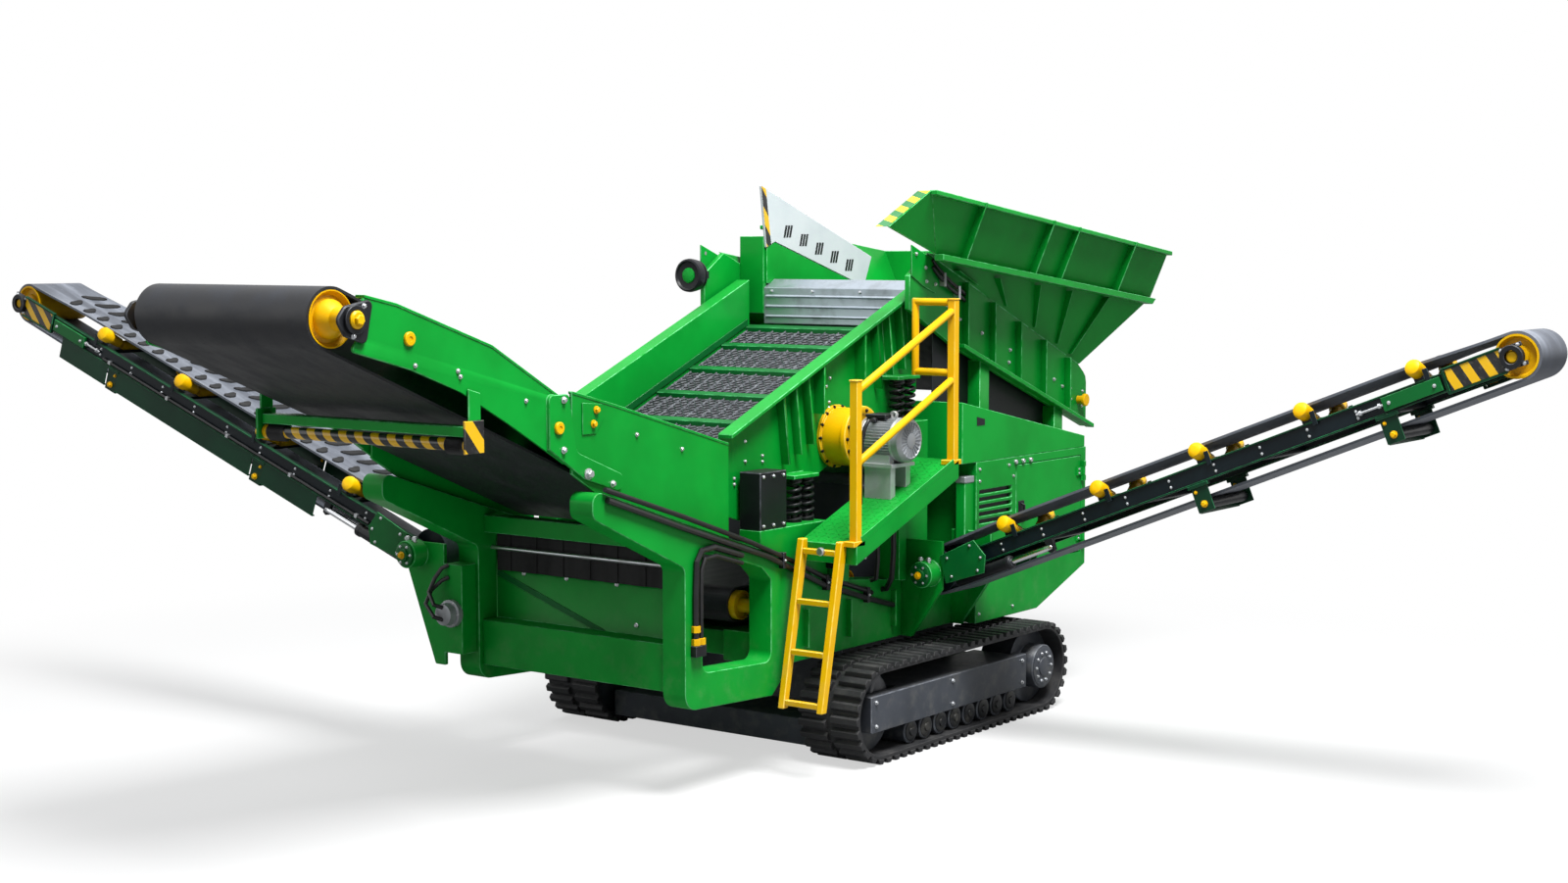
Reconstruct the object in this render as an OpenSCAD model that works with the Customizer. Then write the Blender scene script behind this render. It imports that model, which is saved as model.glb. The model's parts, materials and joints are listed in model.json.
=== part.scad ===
/* [Tracks] */
// Height of a crawler track
track_h = 620; // [560:10:680]
// Width of a track shoe
track_w = 450; // [400:10:460]
// Distance of a track's outer face from the middle plane
track_x = 1280; // [1270:10:1320]
// Length of a track over its two round ends
track_len = 2590; // [2400:10:2700]
// Thickness of the track belt
track_t = 55; // [40:1:65]

/* [Chassis] */
// Outer half width of the chassis sides
chassis_x = 900; // [890:5:910]
// Thickness of a chassis side frame
chassis_t = 170; // [150:5:190]
// Height of the underside of the chassis rails
chassis_z = 660; // [650:5:700]
// Height of the front lower beam
front_beam_h = 280; // [200:10:320]

/* [Screen] */
// Half width of the screen box inside its walls
screen_x = 690; // [670:5:695]
// Slope of the screen box
screen_slope = 22.4; // [22:0.1:23]
// Height of the side walls, measured upright
screen_h = 730; // [700:5:740]
// Depth of the deck below the top flange
deck_drop = 310; // [280:5:340]
// Radius of the exciter drum
exciter_r = 200; // [160:5:205]
// Radius of the motor body
motor_r = 138; // [110:2:140]

/* [Feeder and hopper] */
// Half width of the feeder inside its side plates
feeder_x = 830; // [815:5:840]
// Half width of the feeder belt
feeder_belt_x = 580; // [500:5:600]
// Half width of the hopper at its ledge
hopper_ledge_x = 1100; // [1050:5:1150]
// Half width of the hopper at its rim
hopper_rim_x = 1250; // [1200:5:1280]

/* [Engine housing] */
// Half width of the engine housing
housing_x = 1050; // [1000:5:1080]
// Thickness of a housing door
door_t = 22; // [16:1:30]

/* [Walkway] */
// Half width to the walkway's outer edge
walk_x = 1350; // [1330:5:1380]
// Height of the guard rail over the walkway
rail_h = 990; // [950:10:1050]

/* [Tail conveyor] */
// Half width of the tail belt
tail_belt_x = 650; // [600:5:700]
// Radius of the tail belt where it wraps its head drum
tail_r = 160; // [140:1:165]

/* [Side conveyors] */
// Distance of the right head drum from the middle plane
right_reach = 4840; // [4600:10:5200]
// Distance of the left head drum from the middle plane
left_reach = 5180; // [4800:10:5400]
// Slope of the right conveyor
right_slope = 22; // [20:0.5:24]
// Slope of the left conveyor
left_slope = 20; // [18:0.5:22]
// Half width of a side belt
side_belt_x = 215; // [190:5:225]
// Belt radius on a side head drum
side_head_r = 140; // [120:1:150]
// Belt radius on a side tail drum
side_tail_r = 155; // [145:1:175]

/* [Hidden] */

// Fits and clearances
run_gap = 1;
// Gap left under a piece that stands on a slope or a round face
seat = 0.3;
door_gap = 6;
belt_t = 14;
plate = 20;
round_n = 8;

// Everything is laid out from the track centre, then moved to the middle of the whole machine
tail_head = [-4720, 2840];
ledge_rear = [2925, 2800];
skin = 14;
machine_front = tail_head[0] - tail_r;
machine_rear = ledge_rear[0] + skin + seat;
centre_y = -(machine_front + machine_rear) / 2;
centre_x = (left_reach - right_reach) / 2;

// Points of an outline with each corner replaced by an arc of its own radius
function unit(v) = v / norm(v);
function corner(a, b, c, r) =
    let (u = unit(a - b), w = unit(c - b), half = acos(u * w) / 2)
    r <= 0 ? [b] :
    let (reach = r / tan(half), mid = b + unit(u + w) * r / sin(half), p = b + u * reach, q = b + w * reach)
    [for (i = [0:round_n])
        let (k = i / round_n, d = unit((p - mid) * sin((1 - k) * (180 - 2 * half))
            + (q - mid) * sin(k * (180 - 2 * half))))
        mid + d * r];
function rounded(pts, radii) = let (n = len(pts))
    [for (i = [0:n - 1]) for (p = corner(pts[(i + n - 1) % n], pts[i], pts[(i + 1) % n], radii[i])) p];
function along(p, q, x) = p[1] + (q[1] - p[1]) * (x - p[0]) / (q[0] - p[0]);

// A plate with its outline in Y and Z, between two X planes
module plate_yz(x0, x1, pts) {
    translate([min(x0, x1), 0, 0]) rotate([90, 0, 90]) linear_extrude(abs(x1 - x0)) polygon(pts);
}
// A plate with its outline in X and Z, between two Y planes
module plate_xz(y0, y1, pts) {
    translate([0, y1, 0]) rotate([90, 0, 0]) linear_extrude(y1 - y0) polygon(pts);
}
module box(a, b) {
    translate(a) cube(b - a);
}
module cyl_x(x0, x1, y, z, r) {
    translate([min(x0, x1), y, z]) rotate([0, 90, 0]) cylinder(h = abs(x1 - x0), r = r, $fn = 64);
}
module cyl_y(y0, y1, x, z, r) {
    translate([x, y0, z]) rotate([-90, 0, 0]) cylinder(h = y1 - y0, r = r, $fn = 64);
}
// A flat sheet through three or four points, thickened sideways
module sheet(pts, t) {
    n = len(pts);
    hull() polyhedron(concat(pts, [for (p = pts) p + [t, 0, 0]]),
        [[for (i = [0:n - 1]) i], [for (i = [0:n - 1]) 2 * n - 1 - i]]);
}
module sided(s) {
    if (s > 0) children();
    else mirror([1, 0, 0]) children();
}
module place() {
    translate([centre_x, centre_y, 0]) children();
}

GREEN = [0.02, 0.55, 0.16];
YELLOW = [1.0, 0.72, 0.0];
BLACK = [0.06, 0.06, 0.07];
GREY = [0.22, 0.23, 0.25];
STEEL = [0.62, 0.64, 0.67];
NAVY = [0.05, 0.08, 0.10];
WHITE = [0.85, 0.88, 0.9];

// Track geometry
track_r = track_h / 2;
track_y0 = -820;
shoe_lap = 50;
track_y1 = track_y0 + track_len - track_h;
track_in = track_r - track_t;
cover_x = track_x - 30;
core_in = track_x - track_w + shoe_lap;
slab_x = track_x - 120;
beam_z0 = track_r - 110;
beam_z1 = track_r + 120;
cover_y0 = track_y0 - 110;
cover_y1 = track_y1 - 210;
core_gap = 40;
core_y0 = track_y0 + track_in + core_gap;
core_y1 = track_y1 - track_in - core_gap;
roller_n = 8;
roller_margin = 80;
wheel_side = 20;
idler_hub_r = 70;
drive_hub_r = 150;

function stadium_pts(r, n) = concat(
    [for (i = [0:n]) [track_y1 + r * cos(-90 + 180 * i / n), track_r + r * sin(-90 + 180 * i / n)]],
    [for (i = [0:n]) [track_y0 + r * cos(90 + 180 * i / n), track_r + r * sin(90 + 180 * i / n)]]);
module track(s) {
    color(BLACK) place() sided(s)
        translate([track_x - track_w, 0, 0]) rotate([90, 0, 90]) linear_extrude(track_w)
            difference() {
                polygon(stadium_pts(track_r, 24));
                polygon(stadium_pts(track_in, 24));
            }
}
module tracks() {
    for (s = [-1, 1])
        track(s);
}

module track_frame(s) {
    road_r = (beam_z0 - track_t + 10) / 2;
    road_pitch = (core_y1 - core_y0 - 2 * roller_margin) / (roller_n - 1);
    wheel_in = core_in + wheel_side;
    wheel_out = slab_x - wheel_side;
    color(GREY) place() sided(s) {
        box([slab_x, cover_y0, beam_z0], [cover_x, cover_y1, beam_z1]);
        box([core_in, core_y0, beam_z0], [slab_x, core_y1, beam_z1]);
        for (i = [0:roller_n - 1])
            cyl_x(core_in + 30, slab_x + 60, core_y0 + roller_margin + road_pitch * i,
                track_t + seat + road_r, road_r);
        for (y = [track_y0, track_y1])
            cyl_x(wheel_in, wheel_out, y, track_r, track_in - run_gap);
        cyl_x(wheel_out, slab_x, track_y0, track_r, idler_hub_r);
        cyl_x(wheel_out, cover_x + 10, track_y1, track_r, drive_hub_r);
    }
}
module track_frames() {
    for (s = [-1, 1])
        track_frame(s);
}

// Cross bolster that carries the chassis on both track frames
rail_w = 230;
rail_depth = 190;
rail_x1 = chassis_x - chassis_t;
rail_x0 = rail_x1 - rail_w;
rail_z1 = chassis_z + rail_depth;
rail_front = -1450;
rail_rear = 2000;
cross_y = [-1400, -300, 800, 1850];
cross_w = 120;
cross_drop = 20;
bolster_gap = 60;
bolster_step = 15;
skid_front = track_y0 - 130;
skid_z = 70;
module bolster() {
    y0 = track_y0 + track_in + bolster_gap;
    y1 = track_y1 - track_in - bolster_gap;
    skid_x = track_x - track_w - bolster_step;
    top = beam_z1 - bolster_step;
    color(BLACK) place() {
        box([-skid_x, skid_front, skid_z], [skid_x, y1, beam_z0 + 40]);
        box([-core_in, y0, beam_z0 + bolster_step], [core_in, y1, top]);
        box([-rail_x1, y0, top], [rail_x1, y1, chassis_z]);
    }
}

// Chassis: two rails, two side frames with an arm to the tail conveyor, front beams
side_front = -2310;
side_rear = 560;
arm_nose = [-3100, 1880];
arm_knee = [-2340, 1630];
arm_back = [-1550, 1380];
arm_low = [-950, 1130];
arm_end = [side_rear, 960];
function arm_top(y) = y < arm_knee[0] ? along(arm_nose, arm_knee, y)
    : y < arm_back[0] ? along(arm_knee, arm_back, y)
    : y < arm_low[0] ? along(arm_back, arm_low, y) : along(arm_low, arm_end, y);

// Corners of the arm's top edge between two stations
function arm_bends(y0, y1) = [for (p = [arm_knee, arm_back, arm_low]) if (p[0] > y0 && p[0] < y1) p];

module chassis_rails() {
    color(GREEN) place() {
        for (s = [-1, 1])
            sided(s) box([rail_x0, rail_front, chassis_z], [rail_x1, rail_rear, rail_z1]);
        for (y = cross_y)
            box([-rail_x0, y, chassis_z + cross_drop], [rail_x0, y + cross_w, rail_z1 - cross_drop]);
    }
}
// Outline of a chassis side: post, arm, and the sole that rises to the tracks
side_outline = [[side_front, 530], [side_front, 1360], [arm_nose[0], 1720], arm_nose, arm_knee,
    arm_back, arm_low, arm_end, [side_rear, chassis_z], [-1280, chassis_z], [-1480, 490]];
side_radii = [100, 60, 60, 60, 0, 0, 0, 0, 0, 0, 0];
// Window behind the front post
post_w = 160;
window_rear = -1490;
side_window = [[side_front + post_w, 730], [side_front + post_w, 1460], [window_rear - 90, 1280],
    [window_rear, 1200], [window_rear, 700]];
window_radii = [60, 60, 40, 40, 60];
module chassis_side(s) {
    color(GREEN) place() sided(s)
        translate([rail_x1, 0, 0]) rotate([90, 0, 90]) linear_extrude(chassis_t)
            difference() {
                polygon(rounded(side_outline, side_radii));
                polygon(rounded(side_window, window_radii));
            }
}
module chassis_sides() {
    for (s = [-1, 1])
        chassis_side(s);
}

front_beam_z = 620;
front_beam_y = side_front + 30;
front_beam_t = 130;
upper_beam_z = 1440;
upper_beam_h = 105;
upper_beam_t = 110;
front_panel_top = 1230;
module front_beams() {
    color(GREEN) place() {
        box([-rail_x1, front_beam_y, front_beam_z],
            [rail_x1, front_beam_y + front_beam_t, front_beam_z + front_beam_h]);
        box([-rail_x1, front_beam_y + front_beam_t - upper_beam_t, upper_beam_z],
            [rail_x1, front_beam_y + front_beam_t, upper_beam_z + upper_beam_h]);
        box([-rail_x1, front_beam_y + front_beam_t, front_beam_z],
            [rail_x1, front_beam_y + front_beam_t + plate, front_panel_top]);
    }
}
pack_x = rail_x1 - 30;
pack_y = [-20, 540];
pack_top = 1620;
module power_pack() {
    color(BLACK) place() box([-pack_x, pack_y[0], rail_z1], [pack_x, pack_y[1], pack_top]);
}

// Engine housing on the rear of the rails, with a hinged door in each side
house_y0 = 600;
house_y1 = 2100;
canopy_front = [420, 2160];
canopy_rear = [2080, 1830];
canopy_edge = 80;
house_seam = canopy_rear[1] - canopy_edge;
door_y0 = 1120;
door_y1 = 2020;
door_h = 690;
door_z1 = house_seam - 60;
door_z0 = door_z1 - door_h;
louvre_y0 = 640;
louvre_y1 = 1060;
louvre_n = 5;
louvre_h = 28;
louvre_pitch = 50;
louvre_z = house_seam - 420;
louvre_depth = 30;
house_heel_y = 1420;
house_heel_z = 900;
hinge_off = 14;
hinge_y = door_y1 + 20;
ear_h = 40;
ear_gap = 2;
ear_t = 28;
leaf_t = 10;
leaf_w = 60;
hinge_z = [door_z0 + 80, door_z1 - 140];
knuckle_h = 60;
pin_r = 9.5;
pin_fit = 0.5;
module hinge_pins() {
    reach = ear_h + ear_gap;
    for (z = hinge_z) {
        translate([housing_x + hinge_off, hinge_y, z - reach])
            cylinder(h = knuckle_h + 2 * reach, r = pin_r, $fn = 32);
        for (k = [z - reach, z + knuckle_h + ear_gap])
            box([housing_x, hinge_y - 12, k], [housing_x + ear_t, hinge_y + ear_t / 2, k + ear_h]);
    }
}
module engine_housing() {
    outline = [[house_y0, chassis_z], [house_heel_y, chassis_z], [house_y1, house_heel_z],
        [house_y1, house_seam], [house_y0, house_seam]];
    color(GREEN) place() for (s = [-1, 1])
        sided(s) hinge_pins();
    color(GREEN) place() difference() {
        plate_yz(-housing_x, housing_x, outline);
        for (s = [-1, 1]) sided(s) {
            box([housing_x - door_t - door_gap, door_y0 - door_gap, door_z0 - door_gap],
                [housing_x + 1, door_y1 + door_gap, door_z1 + door_gap]);
            box([rail_x0 - 1, house_y0 - 1, chassis_z - 1], [rail_x1 + 1, rail_rear + 1, rail_z1]);
        }
        for (y = cross_y)
            box([-rail_x0 - 1, y - 1, chassis_z - 1], [rail_x0 + 1, y + cross_w + 1, rail_z1]);
        for (i = [0:louvre_n - 1])
            for (s = [-1, 1])
                sided(s) translate([0, 0, louvre_z + louvre_pitch * i])
                    box([housing_x - louvre_depth, louvre_y0, 0], [housing_x + 1, louvre_y1, louvre_h]);
    }
}
function canopy_z(y) = along(canopy_front, canopy_rear, y);
// Short posts on the canopy that carry the feeder sides
prop_y = [880, 1900];
prop_w = 120;
prop_lap = 30;
module engine_canopy() {
    color(GREEN) place() {
        plate_yz(-housing_x, housing_x,
            [[canopy_front[0], house_seam], canopy_front, canopy_rear, [canopy_rear[0], house_seam]]);
        for (s = [-1, 1]) sided(s) for (y = prop_y)
            plate_yz(feeder_x - prop_lap, feeder_x + feeder_t + prop_lap,
                [[y, canopy_z(y)], [y, feed_low(y) - seat],
                [y + prop_w, feed_low(y + prop_w) - seat], [y + prop_w, canopy_z(y + prop_w)]]);
    }
}
module engine_door(s) {
    color(GREEN) place() sided(s) {
        box([housing_x - door_t, door_y0, door_z0], [housing_x, door_y1, door_z1]);
        for (z = hinge_z)
            difference() {
                union() {
                    box([housing_x, door_y1 - leaf_w, z], [housing_x + leaf_t, hinge_y, z + knuckle_h]);
                    translate([housing_x + hinge_off, hinge_y, z])
                        cylinder(h = knuckle_h, r = hinge_off - run_gap, $fn = 32);
                }
                translate([housing_x + hinge_off, hinge_y, z - 1])
                    cylinder(h = knuckle_h + 2, r = pin_r + pin_fit, $fn = 32);
            }
    }
}
module left_engine_door() { engine_door(-1); }
module right_engine_door() { engine_door(1); }

// Walkway, guard rail and ladder on the working side
walk_front = [-1240, 1410];
walk_rear = [-100, 1840];
walk_in = chassis_x + 30;
walk_t = 120;
walk_leg_y = [-880, -240];
walk_leg_w = 80;
function walk_z(y) = along(walk_front, walk_rear, y);
module walkway() {
    color(GREEN) place() {
        plate_yz(walk_in, walk_x, [walk_front, walk_rear, walk_rear - [0, walk_t], walk_front - [0, walk_t]]);
        for (y = walk_leg_y)
            let (y1 = y + walk_leg_w)
            plate_yz(chassis_x - 80, walk_in + 60, [[y, arm_top(y) + seat], [y, walk_z(y) - walk_t],
                [y1, walk_z(y1) - walk_t], [y1, arm_top(y1) + seat]]);
    }
}
module handrail() {
    w = 60;
    tube = 50;
    loop_w = 340;
    rear_rise = 55;
    y0 = walk_front[0];
    y1 = walk_rear[0] - w;
    x0 = walk_x - w;
    loop_x = walk_x - loop_w;
    loop_y = y1 + (w - tube) / 2;
    color(YELLOW) place() {
        for (y = [y0, y1])
            let (top = walk_z(y) + rail_h + (y == y1 ? rear_rise : 0))
            plate_yz(x0, walk_x, [[y, walk_z(y)], [y, top], [y + w, top], [y + w, walk_z(y + w)]]);
        for (h = [rail_h - w, rail_h / 2])
            let (front_z = walk_z(y0 + w) + h, rear_z = walk_z(y1) + h + rear_rise)
            plate_yz(walk_x - w / 2 - tube / 2, walk_x - w / 2 + tube / 2,
                [[y0 + w, front_z - tube], [y0 + w, front_z], [y1, rear_z], [y1, rear_z - tube]]);
        for (h = [rail_h - tube, rail_h / 2])
            let (z = walk_z(y1) + h + rear_rise)
            box([loop_x, loop_y, z], [x0, loop_y + tube, z + tube]);
        box([loop_x, loop_y, walk_z(y1) + rail_h / 2 + rear_rise],
            [loop_x + tube, loop_y + tube, walk_z(y1) + rail_h + rear_rise]);
    }
}
module ladder() {
    w = 45;
    depth = 50;
    lean = 250;
    rung_n = 4;
    rung_pitch = 300;
    rung_h = 35;
    ladder_w = 330;
    x1 = walk_x - 75;
    x0 = x1 - ladder_w;
    top = walk_front;
    foot = [top[0] - lean, 420];
    function stile_y(z) = along([top[1], top[0] - depth], [foot[1], foot[0]], z);
    color(YELLOW) place() {
        for (x = [x0, x1 - w])
            plate_yz(x, x + w, [[top[0], top[1] + 20], [top[0] - depth, top[1] + 20], foot,
                [foot[0] + depth, foot[1]], [top[0], top[1] - 60]]);
        for (i = [0:rung_n - 1])
            let (z = foot[1] + 20 + rung_pitch * i)
            box([x0 + w, stile_y(z) + 8, z], [x1 - w, stile_y(z) + 40, z + rung_h]);
    }
}

// Screen box: two ribbed walls, cross bars and mesh, hung on springs
rise = tan(screen_slope);
screen_front = -1740;
screen_rear = 380;
flange_w = 90;
flange_t = 25;
wall_t = 20;
// Height of the top flange at one station, from which it slopes
flange_y0 = -1500;
flange_z0 = 2180;
toe_len = 350;
toe_h = 480;
rib_y = [-1190, -1060, -930, -180, -40, 100, 240];
rib_t = 16;
rib_w = 60;
rib_lean = 60;
rib_h = 455;
ear_x = 130;
ear_w = 260;
ear_plate = 24;
function flange_z(y) = flange_z0 + rise * (y - flange_y0);
function deck_z(y) = flange_z(y) - deck_drop;
module screen_wall(s) {
    x1 = screen_x + wall_t;
    toe_y = screen_front + toe_len;
    outline = [[screen_front, flange_z(screen_front)], [screen_rear, flange_z(screen_rear)],
        [screen_rear, flange_z(screen_rear) - screen_h], [toe_y, flange_z(toe_y) - screen_h],
        [screen_front, flange_z(screen_front) - toe_h]];
    color(GREEN) place() sided(s) {
        plate_yz(screen_x, x1, outline);
        plate_yz(x1, x1 + flange_w, [for (p = [screen_front, screen_rear]) [p, flange_z(p)],
            for (p = [screen_rear, screen_front]) [p, flange_z(p) - flange_t]]);
        for (y = rib_y)
            plate_yz(x1, x1 + rib_w, [[y, flange_z(y) - flange_t],
                [y + rib_t, flange_z(y + rib_t) - flange_t],
                [y + rib_t + rib_lean, flange_z(y) - rib_h], [y + rib_lean, flange_z(y) - rib_h]]);
        for (y = spring_y)
            box([x1, y - ear_w / 2, spring_top(y)], [x1 + ear_x, y + ear_w / 2, spring_top(y) + ear_plate]);
    }
}
module screen_walls() {
    for (s = [-1, 1])
        screen_wall(s);
}

bar_y = [-1630, -1350, -1000, -650, -300, 50, 330];
bar_h = 90;
bar_w = 44;
module screen_deck_frame() {
    color(GREEN) place() for (y = bar_y)
        plate_yz(-screen_x, screen_x, [[y, deck_z(y) - bar_h], [y, deck_z(y)],
            [y + bar_w, deck_z(y + bar_w)], [y + bar_w, deck_z(y + bar_w) - bar_h]]);
}
mesh_t = 16;
mesh_drop = 30;
function mesh_z(y) = deck_z(y) - mesh_drop;
module screen_mesh() {
    color(GREY) place() for (i = [0:len(bar_y) - 2])
        let (y0 = bar_y[i] + bar_w, y1 = bar_y[i + 1])
        plate_yz(-screen_x, screen_x, [[y0, mesh_z(y0) - mesh_t], [y0, mesh_z(y0)],
            [y1, mesh_z(y1)], [y1, mesh_z(y1) - mesh_t]]);
}

exciter_y = -560;
exciter_z = 1990;
exciter_w = 220;
exciter_end = screen_x + wall_t + exciter_w;
boss_r = 70;
boss_h = 6;
module exciter_drum() {
    x0 = screen_x + wall_t;
    color(YELLOW) place() {
        cyl_x(x0, exciter_end, exciter_y, exciter_z, exciter_r);
        cyl_x(exciter_end, exciter_end + boss_h, exciter_y, exciter_z, boss_r);
    }
}
motor_gap = 16;
motor_x0 = exciter_end + boss_h + motor_gap;
motor_x1 = walk_x - 60;
foot_half = 130;
foot_t = 40;
foot_drop = 30;
leg_w = 50;
terminal_l = 140;
terminal_h = 50;
module exciter_motor() {
    foot_z = exciter_z - motor_r - foot_drop;
    terminal_z = exciter_z + motor_r - 30;
    color(STEEL) place() {
        cyl_x(motor_x0, motor_x1, exciter_y, exciter_z, motor_r);
        box([motor_x0 + foot_t, exciter_y - foot_half, foot_z],
            [motor_x1 - 60, exciter_y + foot_half, foot_z + foot_t]);
        for (y = [exciter_y - foot_half + 20, exciter_y + foot_half - 20 - leg_w])
            plate_yz(motor_x0 + 60, motor_x1 - 80, [[y, walk_z(y) + seat], [y, foot_z],
                [y + leg_w, foot_z], [y + leg_w, walk_z(y + leg_w) + seat]]);
        box([motor_x0 + 50, exciter_y - terminal_l / 2, terminal_z],
            [motor_x0 + 50 + terminal_l, exciter_y + terminal_l / 2, terminal_z + terminal_h]);
    }
}

// Springs stand on towers that rise from the chassis sides
spring_y = [-1040, 100];
spring_h = 270;
spring_r = 52;
spring_x = screen_x + wall_t + 75;
// Half the pitch of the two springs of a pair
spring_half = 65;
spring_drop = [600, 517];
function spring_top(y) = flange_z(y) - spring_drop[y < 0 ? 0 : 1];
module springs(y) {
    color(BLACK) place() for (s = [-1, 1]) sided(s) for (d = [-spring_half, spring_half])
        translate([spring_x, y + d, spring_top(y) - spring_h]) cylinder(h = spring_h, r = spring_r, $fn = 32);
}
module front_springs() { springs(spring_y[0]); }
module rear_springs() { springs(spring_y[1]); }
function spring_foot(y) = spring_top(y) - spring_h;
// The front towers also carry a guard box ahead of the spring
guard_w = 265;
guard_gap = 285;
guard_rise = 77;
tower_half = 140;
tower_side = 5;
module spring_towers() {
    color(GREEN) place() for (s = [-1, 1]) sided(s) for (y = spring_y)
        let (y0 = y - (y < 0 ? guard_gap + guard_w : tower_half), y1 = y + tower_half)
        plate_yz(rail_x1 + tower_side, chassis_x - tower_side, [[y0, arm_top(y0) + seat],
            for (p = arm_bends(y0, y1)) p + [0, seat],
            [y1, arm_top(y1) + seat], [y1, spring_foot(y)], [y0, spring_foot(y)]]);
}
module spring_guards() {
    y = spring_y[0] - guard_gap - guard_w;
    color(BLACK) place() for (s = [-1, 1]) sided(s)
        box([rail_x1 + tower_side, y, spring_foot(spring_y[0])],
            [chassis_x - tower_side, y + guard_w, spring_top(spring_y[0]) + guard_rise]);
}

// Feeder: side plates, belt on two drums, bed between them
feed_front = [50, 3230];
feed_rear = [2300, 2330];
feed_low_front = [620, 2510];
feed_low_rear = [2420, 1860];
feed_nose_top = 3000;
feed_nose_low = 2780;
feed_heel_z = 2240;
feed_rib_y = [700, 1050, 1400, 1750, 2100];
feed_rib_t = 14;
feed_rib_w = 50;
feed_rib_drop = 20;
feed_flange_w = 70;
feed_flange_t = 30;
feeder_t = 40;
foot_front_y = 250;
nose_y = foot_front_y + 20;
function feed_top(y) = along(feed_front, feed_rear, y);
function feed_low(y) = along(feed_low_front, feed_low_rear, y);
module feeder_side(s) {
    x1 = feeder_x + feeder_t;
    color(GREEN) place() sided(s) {
        plate_yz(feeder_x, x1, rounded([[feed_front[0], feed_nose_top], [nose_y, feed_top(nose_y)],
            feed_rear, [feed_low_rear[0], feed_heel_z], feed_low_rear, feed_low_front,
            [feed_front[0], feed_nose_low]], [0, 0, 0, 60, 30, 0, 0]));
        plate_yz(x1, x1 + feed_flange_w, [feed_low_front, feed_low_rear,
            feed_low_rear + [0, feed_flange_t], feed_low_front + [0, feed_flange_t]]);
        for (y = feed_rib_y)
            let (y1 = y + feed_rib_t)
            plate_yz(x1, x1 + feed_rib_w, [[y, feed_low(y) + feed_flange_t], [y, feed_top(y) - feed_rib_drop],
                [y1, feed_top(y1) - feed_rib_drop], [y1, feed_low(y1) + feed_flange_t]]);
    }
}
module feeder_sides() {
    for (s = [-1, 1])
        feeder_side(s);
}

feed_slope = atan2(feed_front[1] - feed_rear[1], feed_rear[0] - feed_front[0]);
feed_drum_r = 110;
feed_r = feed_drum_r + belt_t;
feed_a = [760, 2800];
feed_len = 1560;
feed_shaft_r = 40;
feed_bed_gap = 30;
// A belt loop round two drums on a common line, in its own plane
function loop_pts(len_, r0, r1, n) = let (tilt = asin((r0 - r1) / len_)) concat(
    [for (i = [0:n]) let (a = 90 - tilt - (180 - 2 * tilt) * i / n) [len_ + r1 * cos(a), r1 * sin(a)]],
    [for (i = [0:n]) let (a = -90 + tilt - (180 + 2 * tilt) * i / n) [r0 * cos(a), r0 * sin(a)]]);
module belt_loop(len_, r0, r1, half) {
    rotate([90, 0, 0]) translate([0, 0, -half]) linear_extrude(2 * half) difference() {
        polygon(loop_pts(len_, r0, r1, 20));
        polygon(loop_pts(len_, r0 - belt_t, r1 - belt_t, 20));
    }
}
module feeder_pose() {
    place() translate([0, feed_a[0], feed_a[1]]) rotate([0, 0, 90]) rotate([0, feed_slope, 0]) children();
}
module feeder_belt() {
    color(BLACK) feeder_pose() belt_loop(feed_len, feed_r, feed_r, feeder_belt_x);
}
module feeder_bed() {
    color(GREY) feeder_pose() for (u = [0, feed_len]) {
        translate([u, 0, 0]) rotate([90, 0, 0])
            cylinder(h = 2 * feeder_belt_x, r = feed_drum_r - run_gap, center = true, $fn = 64);
        translate([u, 0, 0]) rotate([90, 0, 0])
            cylinder(h = 2 * feeder_x, r = feed_shaft_r, center = true, $fn = 32);
    }
    bed_u = feed_drum_r + feed_bed_gap;
    color(GREY) feeder_pose() translate([bed_u, -feeder_x, feed_drum_r - plate])
        cube([feed_len - 2 * bed_u, 2 * feeder_x, plate - seat]);
}
cheek_w = 210;
cheek_in = feeder_x - cheek_w;
cheek_y = [450, 620];
cheek_low = [2720, 2640];
cheek_top = [3260, 3080];
cheek_fall = 60;
module chute_cheek(s) {
    top = cheek_top[(s + 1) / 2];
    color(GREEN) place() sided(s)
        plate_yz(cheek_in, feeder_x, [[cheek_y[0], cheek_low[0]], [cheek_y[0], top],
            [cheek_y[1], top - cheek_fall], [cheek_y[1], cheek_low[1]]]);
}
module chute_cheeks() {
    for (s = [-1, 1])
        chute_cheek(s);
}
// Bent steel lip between the cheeks
lip_outline = [[455, 2650], [455, 2900], [560, 2960], [570, 2945], [475, 2890], [475, 2645]];
module feed_plate() {
    color(STEEL) place() plate_yz(-cheek_in, cheek_in, lip_outline);
}
deflector_outline = [[460, 3180], [400, 3610], [1770, 3110], [1670, 2890], [560, 3220]];
module deflector_plate() {
    color(WHITE) place() plate_yz(-cheek_in, -cheek_in + plate, deflector_outline);
}

// Hopper: a folded side wall each side and a rear wall between them
ledge_front = [-20, 3140];
rim_front = [-300, 3540];
rim_rear = [2920, 3150];
hopper_foot = feeder_x + feeder_t - skin;
function at(x, p) = [x, p[0], p[1]];
wing_front = [-560, 3310];
hopper_rib_k = [0.1, 0.4, 0.52, 0.8];
hopper_rib_t = 14;
hopper_rib_w = 55;
ledge_h = 40;
ledge_w = 60;
rim_h = 30;
rim_w = 40;
left_cut = 0.5;
// The ledge's edge follows the rear wall down
ledge_fall = [0, -ledge_h * (ledge_rear[0] - feed_rear[0]) / (ledge_rear[1] - feed_rear[1]), -ledge_h];
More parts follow.
